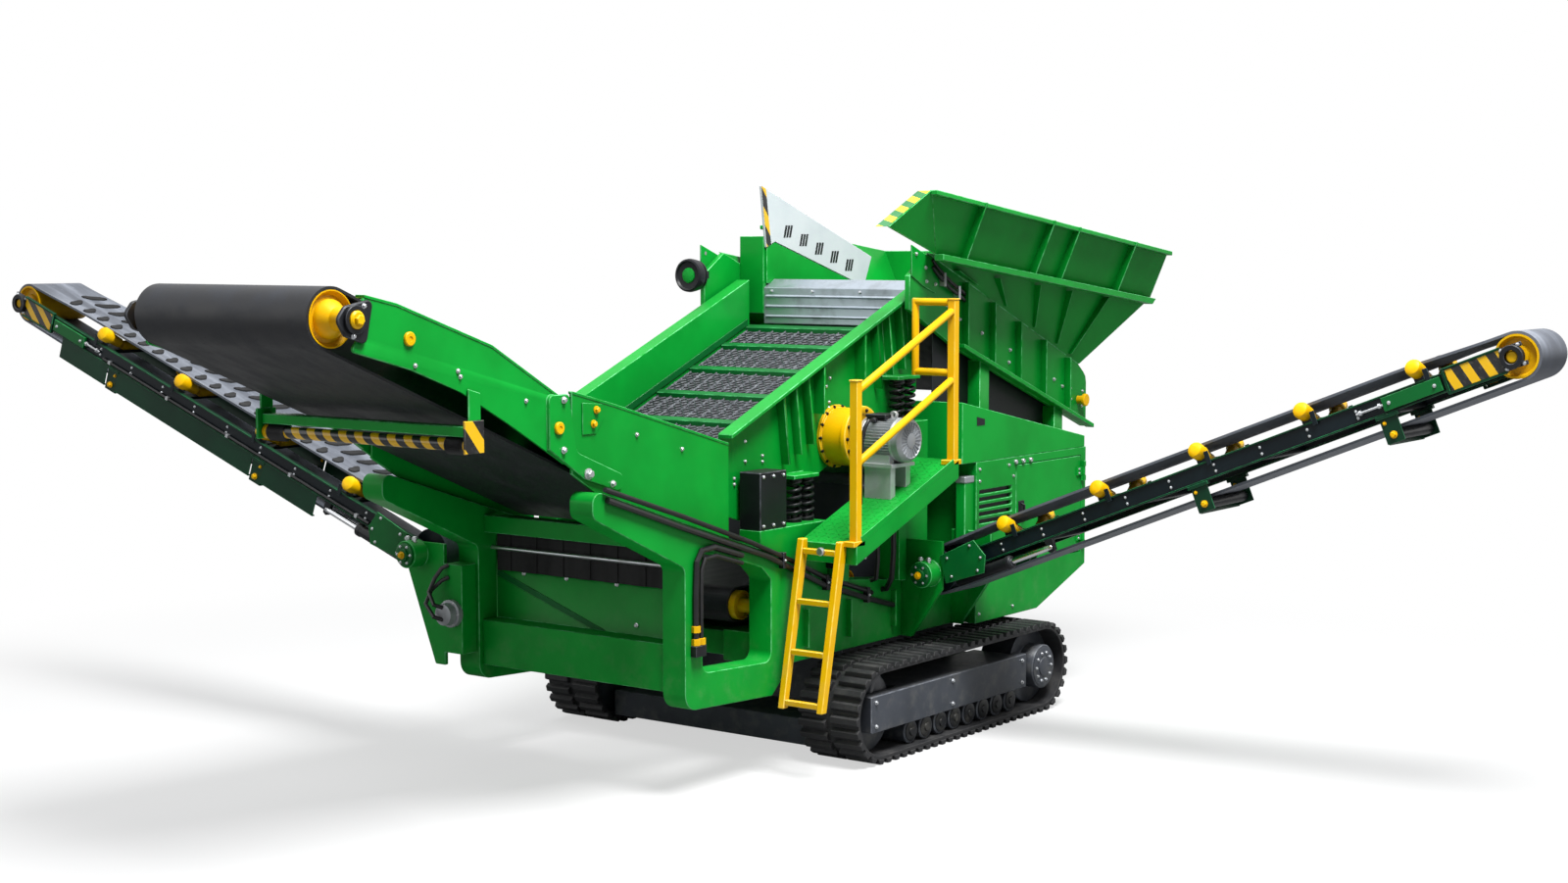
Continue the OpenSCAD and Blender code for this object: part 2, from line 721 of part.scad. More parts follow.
// The share of the ledge and rim, from the front, that a wall leaves off
module hopper_wall(s, cut) {
    a = [hopper_foot, foot_front_y, feed_top(foot_front_y)];
    b = at(hopper_foot, feed_rear);
    lift = [0, 0, seat];
    c = at(hopper_ledge_x, ledge_rear);
    e = at(hopper_rim_x, rim_rear);
    d = at(hopper_ledge_x, ledge_front) * (1 - cut) + c * cut;
    f = at(hopper_rim_x, rim_front) * (1 - cut) + e * cut;
    g = at(hopper_ledge_x, wing_front);
    rib = [0, hopper_rib_t, 0];
    rim = [0, 0, -rim_h];
    color(GREEN) place() sided(s) {
        sheet([a + lift, b + lift, c], skin);
        sheet([a + lift, c, d], skin);
        sheet([d, c, e], skin);
        sheet([d, e, f], skin);
        if (cut == 0)
            sheet([d, f, g], skin);
        for (k = hopper_rib_k)
            let (p = d + (c - d) * k, q = f + (e - f) * (p[1] - f[1]) / (e[1] - f[1]))
            sheet([p, p + rib, q + rib, q], skin + hopper_rib_w);
        sheet([d, c, c + ledge_fall, d + [0, 0, -ledge_h]], skin + ledge_w);
        sheet([f, e, e + rim, f + rim], skin + rim_w);
    }
}
module left_hopper_wall() { hopper_wall(-1, left_cut); }
module right_hopper_wall() { hopper_wall(1, 0); }
module hopper_rear_wall() {
    t = [0, skin, 0];
    foot = hopper_foot + skin;
    ledge = hopper_ledge_x + skin;
    rim = hopper_rim_x + skin;
    lower = [at(-foot, feed_rear), at(foot, feed_rear), at(ledge, ledge_rear), at(-ledge, ledge_rear)];
    upper = [lower[3], lower[2], at(rim, rim_rear), at(-rim, rim_rear)];
    color(GREEN) place() translate([0, seat, 0]) for (q = [lower, upper])
        hull() polyhedron(concat(q, [for (p = q) p + t]), [[0, 1, 2, 3], [7, 6, 5, 4]]);
}
lamp_r = 115;
lamp_depth = 130;
lamp_z = 2990;
lamp_arm = 110;
lamp_arm_h = 50;
module work_lamp() {
    x = -feeder_x + feeder_t;
    y = feed_front[0] - lamp_arm;
    color(BLACK) place() {
        cyl_y(y - lamp_depth, y, x, lamp_z, lamp_r);
        box([-feeder_x - 30, y, lamp_z - lamp_arm_h / 2], [x, feed_front[0], lamp_z + lamp_arm_h / 2]);
    }
}

// Tail conveyor to the front
tail_slope = 22.7;
tail_foot_y = -1960;
tail_len = (tail_foot_y - tail_head[0]) / cos(tail_slope);
tail_in = rail_x1 + 40;
tail_shaft_r = 45;
shaft_end = 30;
tail_drum_r = tail_r - belt_t;
function tail_z(y) = tail_head[1] - (y - tail_head[0]) * tan(tail_slope);
module tail_pose() {
    place() translate([0, tail_head[0], tail_head[1]]) rotate([0, 0, 90]) rotate([0, tail_slope, 0]) children();
}
fold_y = -3200;
tail_outline = [[-4724, 2685], [-4670, 2750], [-4636, 2957], [-4420, 2910], [-3750, 2680],
    [fold_y, 2370], [fold_y, 2020], [-3625, 2264], [-3980, 2452], [-4320, 2577]];
tail_radii = [20, 40, 30, 0, 0, 0, 0, 0, 0, 0];
// Link plate over the fold joint
link_outline = [[-3340, 2400], [-3180, 2400], [-3120, 2080], [-2740, 1930], [-2740, 1830], [-3060, 1930],
    [-3340, 2110]];
link_radii = [30, 30, 60, 40, 40, 60, 0];
module tail_side(s) {
    out = tail_in + plate;
    color(GREEN) place() sided(s) {
        plate_yz(tail_in, out, rounded(tail_outline, tail_radii));
        plate_yz(out, out + plate, rounded(link_outline, link_radii));
    }
}
module tail_sides() {
    for (s = [-1, 1])
        tail_side(s);
}
// Flange bearing of the head drum, on the outer face of a side plate
bearing_t = 25;
bearing_outline = [[130, 100], [-60, 65], [-112, 0], [-60, -80], [80, -125]];
bearing_radii = [30, 40, 40, 40, 30];
module tail_bearings() {
    x0 = tail_in + plate;
    x1 = x0 + bearing_t;
    color(BLACK) place() for (s = [-1, 1]) sided(s) difference() {
        plate_yz(x0, x1, rounded([for (p = bearing_outline) p + tail_head], bearing_radii));
        cyl_x(x0 - 1, x1 + 1, tail_head[0], tail_head[1], tail_shaft_r + run_gap);
    }
}
panel_front = fold_y + 60;
panel_rear = -1760;
panel_toe = -2900;
panel_top = [[panel_front, 2410], [-2790, 2320], [panel_rear, 2030]];
panel_low = 1960;
module discharge_panels() {
    color(GREEN) place() for (s = [-1, 1]) sided(s)
        plate_yz(tail_in, tail_in + plate, concat(panel_top, [
            [panel_rear, arm_top(panel_rear) + seat], arm_knee + [0, seat],
            [panel_toe, arm_top(panel_toe) + seat], [panel_front, panel_low]]));
}
module tail_belt() {
    color(BLACK) tail_pose() belt_loop(tail_len, tail_r, tail_r, tail_belt_x);
}
bed_gap = 40;
module tail_bed() {
    color(GREY) foot_drum();
    bed_u = tail_drum_r + bed_gap;
    color(GREY) tail_pose() translate([bed_u, -tail_in, tail_drum_r - plate])
        cube([tail_len - 2 * bed_u, 2 * tail_in, plate - seat]);
}
module tail_head_drum() {
    color(YELLOW) place() {
        cyl_x(-tail_belt_x, tail_belt_x, tail_head[0], tail_head[1], tail_drum_r - run_gap);
        for (end = tail_in + plate + bearing_t + shaft_end)
            cyl_x(-end, end, tail_head[0], tail_head[1], tail_shaft_r);
    }
}
module foot_drum() {
    place() {
        cyl_x(-tail_belt_x, tail_belt_x, tail_foot_y, tail_z(tail_foot_y), tail_drum_r - run_gap);
        cyl_x(-tail_in, tail_in, tail_foot_y, tail_z(tail_foot_y), tail_shaft_r);
    }
}
spreader_y = -3900;
spreader_z = 2170;
spreader_r = 34;
spreader_beam_z = [2215, 2270];
spreader_beam_w = 80;
spreader_ear_t = 16;
spreader_ear = [[-70, 2130], [-70, 2480], [70, 2440], [70, 2130]];
module tail_spreader() {
    x0 = tail_in + plate;
    y = spreader_y;
    color(YELLOW) place() {
        cyl_x(-x0, x0, y, spreader_z, spreader_r);
        for (s = [-1, 1])
            sided(s) plate_yz(x0, x0 + spreader_ear_t, [for (p = spreader_ear) p + [y, 0]]);
    }
    color(GREEN) place() box([-x0, y - spreader_beam_w / 2, spreader_beam_z[0]],
        [x0, y + spreader_beam_w / 2, spreader_beam_z[1]]);
}

// Side conveyors: each boom swings up about its tail axis
side_tail_x = 1120;
side_tail_z = [1300, 1090];
side_y = [-2120, 240];
function slope_of(s) = s > 0 ? right_slope : left_slope;
function side_len(s) = ((s > 0 ? right_reach : left_reach) - side_tail_x) / cos(slope_of(s));
rail_out = 280;
rail_t = 30;
rail_half = 55;
guard_t = 8;
tie_n = 4;
tie_w = 60;
tie_h = 40;
rail_end = 70;
head_guard_l = 470;
head_guard_end = 90;
head_guard_lap = 20;
trunnion_r = 40;
trunnion_l = 36;
idler_end = 15;
post_t = 40;
side_shaft_r = 35;
module side_pose(s) {
    k = (s + 1) / 2;
    place() sided(s) translate([side_tail_x, side_y[k], side_tail_z[k]])
        rotate([0, -slope_of(s), 0]) children();
}
module cyl_w(u, v, w0, w1, r) {
    translate([u, w0, v]) rotate([-90, 0, 0]) cylinder(h = w1 - w0, r = r, $fn = 48);
}
// Guard plates beside the left conveyor's return strand, in bays between its return rollers
skirt_t = 8;
skirt_low = 200;
skirt_gap = 60;
skirt_from = 1000;
module return_guards(s) {
    stops = concat([skirt_from - skirt_gap], return_u(s), [side_len(s) - head_guard_l]);
    for (i = [0:len(stops) - 2])
        for (w = [-rail_out, rail_out - skirt_t])
            translate([stops[i] + skirt_gap, w, -skirt_low])
                cube([stops[i + 1] - stops[i] - 2 * skirt_gap, skirt_t, skirt_low - rail_half + 5]);
}
module boom(s) {
    far = side_len(s);
    color(NAVY) side_pose(s) {
        difference() {
            for (w = [-1, 1]) {
                translate([-rail_end, w > 0 ? rail_out - rail_t : -rail_out, -rail_half])
                    cube([far + 2 * rail_end, rail_t, 2 * rail_half]);
                translate([far + head_guard_end - head_guard_l, w > 0 ? rail_out : -rail_out - guard_t,
                    -rail_half - head_guard_lap])
                    cube([head_guard_l, guard_t, 2 * (rail_half + head_guard_lap)]);
            }
            cyl_w(far, 0, -rail_out - 2 * guard_t, rail_out + 2 * guard_t, side_shaft_r + run_gap);
        }
        for (i = [1:tie_n])
            translate([far * i / (tie_n + 1), -rail_out + rail_t, -rail_half])
                cube([tie_w, 2 * (rail_out - rail_t), tie_h]);
        for (w = [-rail_out - trunnion_l, rail_out])
            cyl_w(0, 0, w, w + trunnion_l, trunnion_r);
        cyl_w(0, 0, -side_belt_x, side_belt_x, side_tail_r - belt_t - run_gap);
        cyl_w(0, 0, -rail_out + rail_t, rail_out - rail_t, trunnion_r);
        if (s < 0)
            return_guards(s);
    }
}
module left_boom() { boom(-1); }
module right_boom() { boom(1); }
module side_belt(s) {
    color(BLACK) side_pose(s) belt_loop(side_len(s), side_tail_r, side_head_r, side_belt_x);
}
module left_belt() { side_belt(-1); }
module right_belt() { side_belt(1); }

// Carrying rollers under the top strand, return rollers under the lower one
roller_count = [4, 5];
roller_first = [750, 620];
roller_last = [954, 544];
// Places of the return rollers, as shares of the boom
return_k = [[0.37, 0.74], [0.494, 0.805]];
roller_r = 34;
return_r = 32;
function roller_u(s) = let (k = (s + 1) / 2, n = roller_count[k])
    [for (i = [0:n - 1]) roller_first[k] + (side_len(s) - roller_first[k] - roller_last[k]) * i / (n - 1)];
function return_u(s) = return_k[(s + 1) / 2] * side_len(s);
function strand(u, s) = (side_tail_r + (side_head_r - side_tail_r) * u / side_len(s))
    / cos(asin((side_tail_r - side_head_r) / side_len(s)));
module rollers(s) {
    color(YELLOW) side_pose(s) {
        for (u = roller_u(s)) {
            v = strand(u, s) - belt_t - roller_r - run_gap;
            cyl_w(u, v, -rail_out - idler_end, rail_out + idler_end, roller_r);
            for (w = [-rail_out, rail_out - rail_t])
                translate([u - post_t / 2, w, rail_half]) cube([post_t, rail_t, v - rail_half]);
        }
        for (u = return_u(s)) {
            v = strand(u, s) + return_r + run_gap;
            cyl_w(u, -v, -rail_out - idler_end, rail_out + idler_end, return_r);
            for (w = [-rail_out, rail_out - rail_t])
                translate([u - post_t / 2, w, -v]) cube([post_t, rail_t, v - rail_half]);
        }
    }
}
module left_rollers() { rollers(-1); }
module right_rollers() { rollers(1); }
module side_head_drum(s) {
    color(YELLOW) side_pose(s) {
        cyl_w(side_len(s), 0, -side_belt_x, side_belt_x, side_head_r - belt_t - run_gap);
        cyl_w(side_len(s), 0, -rail_out - 2 * guard_t, rail_out + 2 * guard_t, side_shaft_r);
    }
}
module left_head_drum() { side_head_drum(-1); }
module right_head_drum() { side_head_drum(1); }

// Lift cylinder under the near rail of each boom
barrel_r = 38;
rod_r = 20;
barrel_u = 170;
barrel_l = 420;
rod_l = 300;
lift_ear = 60;
lift_gap = 15;
module lift_cylinder(s) {
    v = -rail_half - lift_gap - barrel_r;
    w = -rail_out + rail_t / 2;
    color(BLACK) side_pose(s) {
        translate([barrel_u, w, v]) rotate([0, 90, 0]) cylinder(h = barrel_l, r = barrel_r, $fn = 32);
        translate([barrel_u + barrel_l, w, v]) rotate([0, 90, 0]) cylinder(h = rod_l, r = rod_r, $fn = 32);
        for (u = [barrel_u, barrel_u + barrel_l + rod_l])
            translate([u - lift_ear / 2, w - rail_t / 2, v - barrel_r])
                cube([lift_ear, rail_t, barrel_r - rail_half - v]);
    }
}
module left_lift_cylinder() { lift_cylinder(-1); }
module right_lift_cylinder() { lift_cylinder(1); }
bracket_t = 30;
bracket_gap = 8;
bracket_in = rail_out + bracket_gap;
bracket_nose = 90;
bracket_top = [1370, 1300];
bracket_foot = [620, chassis_z];
drive_r = 85;
drive_l = 110;
block_w = 150;
block_z = [700, 1250];
module boom_brackets() {
    color(GREEN) place() for (s = [-1, 1]) sided(s)
        let (k = (s + 1) / 2, y = side_y[k], z = side_tail_z[k], top = bracket_top[k], foot = bracket_foot[k],
            nose = side_tail_x + bracket_nose)
        for (w = [-1, 1])
            difference() {
                plate_xz(w > 0 ? y + bracket_in : y - bracket_in - bracket_t,
                    w > 0 ? y + bracket_in + bracket_t : y - bracket_in,
                    [[chassis_x, foot], [chassis_x, top], [nose, top], [nose, z - 100],
                    [chassis_x + 80, foot]]);
                cyl_y(y - bracket_in - bracket_t - 1, y + bracket_in + bracket_t + 1,
                    side_tail_x, z, trunnion_r + run_gap);
            }
    // Drive motor on the outer face of the front plate
    color(GREEN) place() for (s = [-1, 1]) sided(s)
        let (k = (s + 1) / 2, y = side_y[k] - bracket_in - bracket_t)
        cyl_y(y - drive_l, y, side_tail_x, side_tail_z[k], drive_r);
    // Block that carries the left bracket ahead of the chassis side
    color(GREEN) place() sided(-1)
        box([chassis_x - block_w, side_y[0] - bracket_in - bracket_t, block_z[0]],
            [chassis_x, side_front, block_z[1]]);
}

// Belt under the screen that gathers the fines, between the chassis sides
fines_r = 110;
fines_y = [-1380, -270];
fines_z = 1000;
fines_x = 560;
fines_lip = 40;
fines_shaft_r = 45;
module fines_pose() {
    place() translate([0, fines_y[0], fines_z]) rotate([0, 0, 90]) children();
}
module fines_belt() {
    color(BLACK) fines_pose() belt_loop(fines_y[1] - fines_y[0], fines_r, fines_r, fines_x);
}
module fines_drums() {
    color(YELLOW) place() for (y = fines_y) {
        cyl_x(-fines_x - fines_lip, fines_x + fines_lip, y, fines_z, fines_r - belt_t - run_gap);
        cyl_x(-rail_x1, rail_x1, y, fines_z, fines_shaft_r);
    }
}

// Hoses held along the outside of the right chassis side
hose_r = 18;
hose_sides = 8;
long_hose = [[-3000, 1815], [-2340, 1595], [-1550, 1345], [-950, 1095], [-500, 960], [-200, 880]];
post_hose = [[-1800, 1380], [-2060, 1457], [-2180, 1450], [-2225, 1390], [-2235, 1200], [-2235, 920]];
function hose_normal(pts, i) = let (n = len(pts),
    d = unit(pts[min(i + 1, n - 1)] - pts[max(i - 1, 0)])) [-d[1], d[0]];
module hose(pts, x) {
    n = len(pts);
    rings = [for (i = [0:n - 1]) for (k = [0:hose_sides - 1])
        let (a = 360 * k / hose_sides, m = hose_normal(pts, i) * hose_r * sin(a))
        [x + hose_r * cos(a), pts[i][0] + m[0], pts[i][1] + m[1]]];
    walls = [for (i = [0:n - 2]) for (k = [0:hose_sides - 1])
        let (k2 = (k + 1) % hose_sides, a = i * hose_sides)
        [a + k, a + hose_sides + k, a + hose_sides + k2, a + k2]];
    polyhedron(rings, concat(walls, [[for (k = [0:hose_sides - 1]) k],
        [for (k = [0:hose_sides - 1]) n * hose_sides - 1 - k]]), convexity = 6);
}
module hydraulic_hoses() {
    color(BLACK) place() {
        hose(long_hose, chassis_x + hose_r);
        hose(post_hose, chassis_x + hose_r);
    }
}

tracks();
track_frames();
bolster();
chassis_rails();
chassis_sides();
front_beams();
power_pack();
fines_belt();
fines_drums();
engine_housing();
engine_canopy();
left_engine_door();
right_engine_door();
walkway();
handrail();
ladder();
screen_walls();
screen_deck_frame();
screen_mesh();
exciter_drum();
exciter_motor();
front_springs();
rear_springs();
spring_towers();
spring_guards();
feeder_sides();
feeder_belt();
feeder_bed();
chute_cheeks();
feed_plate();
deflector_plate();
left_hopper_wall();
right_hopper_wall();
hopper_rear_wall();
work_lamp();
tail_sides();
tail_bearings();
discharge_panels();
tail_belt();
tail_bed();
tail_head_drum();
tail_spreader();
left_boom();
right_boom();
left_belt();
right_belt();
left_rollers();
right_rollers();
left_lift_cylinder();
right_lift_cylinder();
left_head_drum();
right_head_drum();
boom_brackets();
hydraulic_hoses();
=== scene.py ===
# %% [markdown]
# # A tracked screening plant
# A screening plant takes broken stone in at a hopper, carries it up on a feeder belt, shakes it down a
# sloping screen, and sends three sizes of stone away on three conveyors. The solids come from the CAD model,
# so nothing is placed by eye here. This script softens their edges, adds the small parts that a maker would
# bolt on, and gives each surface its finish.

# %% Load the solids
import json
import math

import bmesh
import bpy
from mathutils import Matrix, Vector
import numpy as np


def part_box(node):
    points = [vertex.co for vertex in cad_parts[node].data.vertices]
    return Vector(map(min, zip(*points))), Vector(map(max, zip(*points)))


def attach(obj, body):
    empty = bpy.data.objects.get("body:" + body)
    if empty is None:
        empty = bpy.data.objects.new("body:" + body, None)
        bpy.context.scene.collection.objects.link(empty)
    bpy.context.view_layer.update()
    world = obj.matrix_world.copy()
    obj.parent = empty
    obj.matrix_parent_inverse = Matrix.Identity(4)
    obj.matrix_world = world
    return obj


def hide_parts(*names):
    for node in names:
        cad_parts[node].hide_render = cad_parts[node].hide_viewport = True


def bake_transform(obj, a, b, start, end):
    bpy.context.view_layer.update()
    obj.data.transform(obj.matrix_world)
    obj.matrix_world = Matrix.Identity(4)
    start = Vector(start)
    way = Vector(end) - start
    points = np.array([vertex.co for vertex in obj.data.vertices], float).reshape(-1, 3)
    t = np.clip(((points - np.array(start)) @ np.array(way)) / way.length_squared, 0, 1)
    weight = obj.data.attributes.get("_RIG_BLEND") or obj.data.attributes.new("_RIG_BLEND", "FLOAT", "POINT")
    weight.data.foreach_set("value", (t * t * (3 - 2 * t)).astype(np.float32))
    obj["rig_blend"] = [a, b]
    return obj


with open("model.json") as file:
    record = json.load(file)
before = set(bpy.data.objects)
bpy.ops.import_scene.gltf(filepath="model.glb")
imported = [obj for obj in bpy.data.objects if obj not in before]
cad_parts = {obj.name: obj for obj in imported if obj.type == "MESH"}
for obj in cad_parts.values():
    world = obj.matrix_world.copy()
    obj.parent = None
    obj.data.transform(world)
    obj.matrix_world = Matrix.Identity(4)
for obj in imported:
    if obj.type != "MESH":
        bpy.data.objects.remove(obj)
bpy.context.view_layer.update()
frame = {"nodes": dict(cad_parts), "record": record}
body_of = {node: body for body, nodes in frame["record"]["behaviour"]["bodies"].items() for node in nodes}

# %% [markdown]
# ## One set of measurements
# The machine is drawn from a point on the ground, midway between the tracks. The CAD frame is shifted from
# it, and two boxes give the shift: the chassis is even about the middle, and the tracks start 1.13 m ahead of
# it. With the shift known, every number below is a plain distance on the machine, in metres.

# %% The middle of the machine
chassis_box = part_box("chassis_sides")
MIDDLE = Vector(((chassis_box[0][0] + chassis_box[1][0]) / 2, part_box("tracks")[0][1] + 1.13, 0.0))
SIDES = (-1, 1)
SIDE_NAME = {1: "right", -1: "left"}
print("middle of the machine:", [round(c, 4) for c in MIDDLE])

# %% [markdown]
# ## Building shapes from points
# Steel plate, bars, turned parts and pipes make up nearly the whole machine. Blender's own primitives would
# need a move, a turn and a scale each. A small class that collects points and faces is easier to read: each
# method adds one kind of shop work, and a matrix lets a sloping conveyor be drawn as if it lay flat.

# %% A shape in the making
X, Y, Z, FRONT = (1, 0, 0), (0, 1, 0), (0, 0, 1), (0, -1, 0)


def mirrored(side, inner, outer):
    """The lower and upper end of a span that lies on one side of the middle."""
    return min(side * inner, side * outer), max(side * inner, side * outer)


def circle(sides):
    """Cosine and sine of each corner of a circle."""
    return [(math.cos(math.tau * i / sides), math.sin(math.tau * i / sides)) for i in range(sides)]


class Shape:
    """Points and faces of one piece, measured from the middle of the machine."""

    def __init__(self, turn=None):
        self.turn = turn or Matrix()
        self.points = []
        self.faces = []

    def add(self, points, faces):
        start = len(self.points)
        self.points += [self.turn @ Vector(p) for p in points]
        self.faces += [[start + i for i in face] for face in faces]
        return self

    def skin(self, rings, ends=True):
        """Joins closed rings of points one after the other, and caps the first and last."""
        n = len(rings[0])
        faces = [[r * n + i, r * n + (i + 1) % n, (r + 1) * n + (i + 1) % n, (r + 1) * n + i]
                 for r in range(len(rings) - 1) for i in range(n)]
        if ends:
            faces += [list(range(n))[::-1], [(len(rings) - 1) * n + i for i in range(n)]]
        return self.add([p for ring in rings for p in ring], faces)

    def slab(self, low, high):
        (a, b, c), (d, e, f) = low, high
        return self.skin([[(a, b, z), (d, b, z), (d, e, z), (a, e, z)] for z in (c, f)])

    def side_slab(self, side, low, high, axis=0):
        """A slab on one side of the middle. Along one axis its corners are measured outwards."""
        low, high = list(low), list(high)
        low[axis], high[axis] = mirrored(side, low[axis], high[axis])
        return self.slab(low, high)

    def plate(self, outline, axis, low, high):
        """An outline cut from plate. Its points leave out the axis that runs through the plate."""
        rings = []
        for depth in (low, high):
            rings.append([tuple(p[:axis]) + (depth,) + tuple(p[axis:]) for p in outline])
        return self.skin(rings)

    def side_plate(self, side, outline, inner, outer, axis=0):
        """A plate on one side of the middle, with its two faces measured outwards."""
        return self.plate(outline, axis, *mirrored(side, inner, outer))

    def lathe(self, foot, axis, profile, sides=32, ends=True):
        """A profile of (along, radius) turned about an axis."""
        foot, along = Vector(foot), Vector(axis).normalized()
        across = along.orthogonal().normalized()
        over = along.cross(across)
        rings = [[foot + along * h + (across * c + over * s) * r for c, s in circle(sides)]
                 for h, r in profile]
        return self.skin(rings, ends)

    def rod(self, start, end, radius, sides=16):
        start, end = Vector(start), Vector(end)
        length, rim = (end - start).length, min(0.004, radius / 4)
        return self.lathe(start, end - start, [(0, radius - rim), (rim, radius), (length - rim, radius),
                                               (length, radius - rim)], sides)

    def ring(self, foot, axis, inner, outer, width, sides=32):
        """A turned ring with a bore through it."""
        profile = [(0, inner), (0, outer), (width, outer), (width, inner), (0, inner)]
        return self.lathe(foot, axis, profile, sides, ends=False)

    def tube(self, path, radius, sides=10):
        """A pipe along a path of points."""
        path, side, rings = [Vector(p) for p in path], None, []
        for i, p in enumerate(path):
            ahead = (path[min(i + 1, len(path) - 1)] - path[max(i - 1, 0)]).normalized()
            side = ahead.orthogonal() if side is None else side - ahead * side.dot(ahead)
            side.normalize()
            up = ahead.cross(side)
            rings.append([p + (side * c + up * s) * radius for c, s in circle(sides)])
        return self.skin(rings)

    def bolt(self, at, axis, size):
        """A washer and a hexagon head, standing on a face."""
        self.lathe(at, axis, [(-size, size), (0.25 * size, size), (0.3 * size, 0.9 * size)], 14)
        return self.lathe(at, axis, [(0.3 * size, 0.74 * size), (0.85 * size, 0.74 * size),
                                     (size, 0.55 * size)], 6)

    def side_bolts(self, side, reach, places, size):
        """Bolts on a wall that faces sideways, at places given as (y, z)."""
        for y, z in places:
            self.bolt((side * reach, y, z), (side, 0, 0), size)

    def bolt_ring(self, at, axis, radius, count, size):
        """Bolts in a ring, on a face that looks along the machine or across it."""
        for c, k in circle(count):
            step = (0, radius * c, radius * k) if axis[0] else (radius * c, 0, radius * k)
            self.bolt(Vector(at) + Vector(step), axis, size)

    def mesh(self):
        work = bmesh.new()
        points = [work.verts.new(p + MIDDLE) for p in self.points]
        for face in self.faces:
            work.faces.new([points[i] for i in face])
        return work


print("shape tools:", [name for name in vars(Shape) if not name.startswith("_")])

# %% [markdown]
# ## From a shape to a piece
# Real plate never has a knife edge: it is deburred, and paint wears thin along it. So each sharp edge gets a
# small flat bevel, and the bevel's faces carry a mark called edge that the paint reads later. The enamels
# turn that mark paler, partly as wear and partly as a painted highlight. Faces that meet at a slight angle
# are shaded smooth, so that turned parts look round.

# %% Softened edges
TOUCHING = 2e-5
SPECK = 1e-8
ATTEMPTS = 8


def folds(work):
    """Corners of the triangles that face the wrong way. There a bevel has folded a face over."""
    trial = bpy.data.meshes.new("trial")
    work.to_mesh(trial)
    trial.calc_loop_triangles()
    corners = [trial.vertices[i].co.copy() for part in trial.loop_triangles for i in part.vertices
               if part.area > SPECK and part.normal.dot(trial.polygons[part.polygon_index].normal) < 0.2]
    bpy.data.meshes.remove(trial)
    return corners


def soften(work, bevel, smooth):
    """Bevels the sharp edges, and leaves sharp those where a face would fold over."""
    work.edges.index_update()
    left = set()
    for attempt in range(1, ATTEMPTS + 1):
        soft = work.copy()
        sharp = [e for e in soft.edges if e.index not in left and e.is_manifold
                 and e.calc_face_angle(0) > math.radians(smooth)]
        ends = {e.index: [v.co.copy() for v in e.verts] for e in sharp}
        made = bmesh.ops.bevel(soft, geom=sharp, offset=bevel, segments=1, affect="EDGES",
                               clamp_overlap=False)
        mark = soft.faces.layers.float["edge"]
        for face in made["faces"]:
            face[mark] = 1.0
        spots = folds(soft)
        if not spots:
            work.free()
            return soft
        soft.free()
        left |= {i for i, pair in ends.items()
                 if min((p - q).length for p in pair for q in spots) < 2 * attempt * bevel}
    return work


print("edges are softened with one flat face each")

# %% Pieces
BENT = 0.6


def piece(name, shape, finish, body="chassis", nodes=(), bevel=0.0, smooth=32):
    """Makes an object of a shape, with softened edges, a finish, and a body to ride on."""
    work = shape.mesh() if isinstance(shape, Shape) else shape
    bmesh.ops.remove_doubles(work, verts=work.verts, dist=TOUCHING)
    bmesh.ops.recalc_face_normals(work, faces=work.faces)
    work.faces.layers.float.new("edge")
    if bevel:
        work = soften(work, bevel, smooth)
    mesh = bpy.data.meshes.new(name)
    work.to_mesh(mesh)
    work.free()
    mesh.shade_smooth()
    mesh.set_sharp_from_angle(angle=math.radians(smooth))
    flat = [any(mesh.corner_normals[i].vector.dot(face.normal) < BENT for i in face.loop_indices)
            for face in mesh.polygons]
    for face, turned in zip(mesh.polygons, flat):
        face.use_smooth = not turned
    mesh.materials.append(finish.material)
    made = bpy.data.objects.new(name, mesh)
    bpy.context.collection.objects.link(made)
    if body:
        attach(made, body)
    if nodes:
        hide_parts(*nodes)
    return made


def dress(node, finish, bevel):
    """A CAD solid with its edges softened, standing in for the plain one."""
    work = bmesh.new()
    work.from_mesh(frame["nodes"][node].data)
    bmesh.ops.remove_doubles(work, verts=work.verts, dist=TOUCHING)
    bmesh.ops.dissolve_limit(work, angle_limit=math.radians(0.6), verts=work.verts, edges=work.edges)
    return piece(node + "_finished", work, finish, body_of[node], [node], bevel)


def coat(node, finish):
    """Gives a CAD solid that is right as it stands its finish."""
    materials = frame["nodes"][node].data.materials
    materials.clear()
    materials.append(finish.material)


print("each node rides on one of", sorted(set(body_of.values())))

# %% [markdown]
# ## Sums with sockets
# A finish is a set of masks: how dusty, how worn, how far along a stripe. In Blender each sum is a Math node,
# and a long tree of them is hard to follow. Here a socket is wrapped in a small class whose operators add the
# nodes, so that a mask can be written as 1 - dust. Colours go through Mix nodes, because a Math node would
# turn them grey.

# %% Values and finishes
class Value:
    """A shader socket that takes part in sums."""

    def __init__(self, finish, socket):
        self.finish = finish
        self.socket = socket

    def sum(self, operation, first, second):
        return self.finish.node("ShaderNodeMath", {"operation": operation}, {0: first, 1: second})

    def __add__(self, other):
        return self.sum("ADD", self, other)

    def __radd__(self, other):
        return self.sum("ADD", other, self)

    def __sub__(self, other):
        return self.sum("SUBTRACT", self, other)

    def __rsub__(self, other):
        return self.sum("SUBTRACT", other, self)

    def __mul__(self, other):
        return self.sum("MULTIPLY", self, other)

    def __rmul__(self, other):
        return self.sum("MULTIPLY", other, self)

    def __mod__(self, other):
        return self.sum("FLOORED_MODULO", self, other)

    def __gt__(self, other):
        return self.sum("GREATER_THAN", self, other)


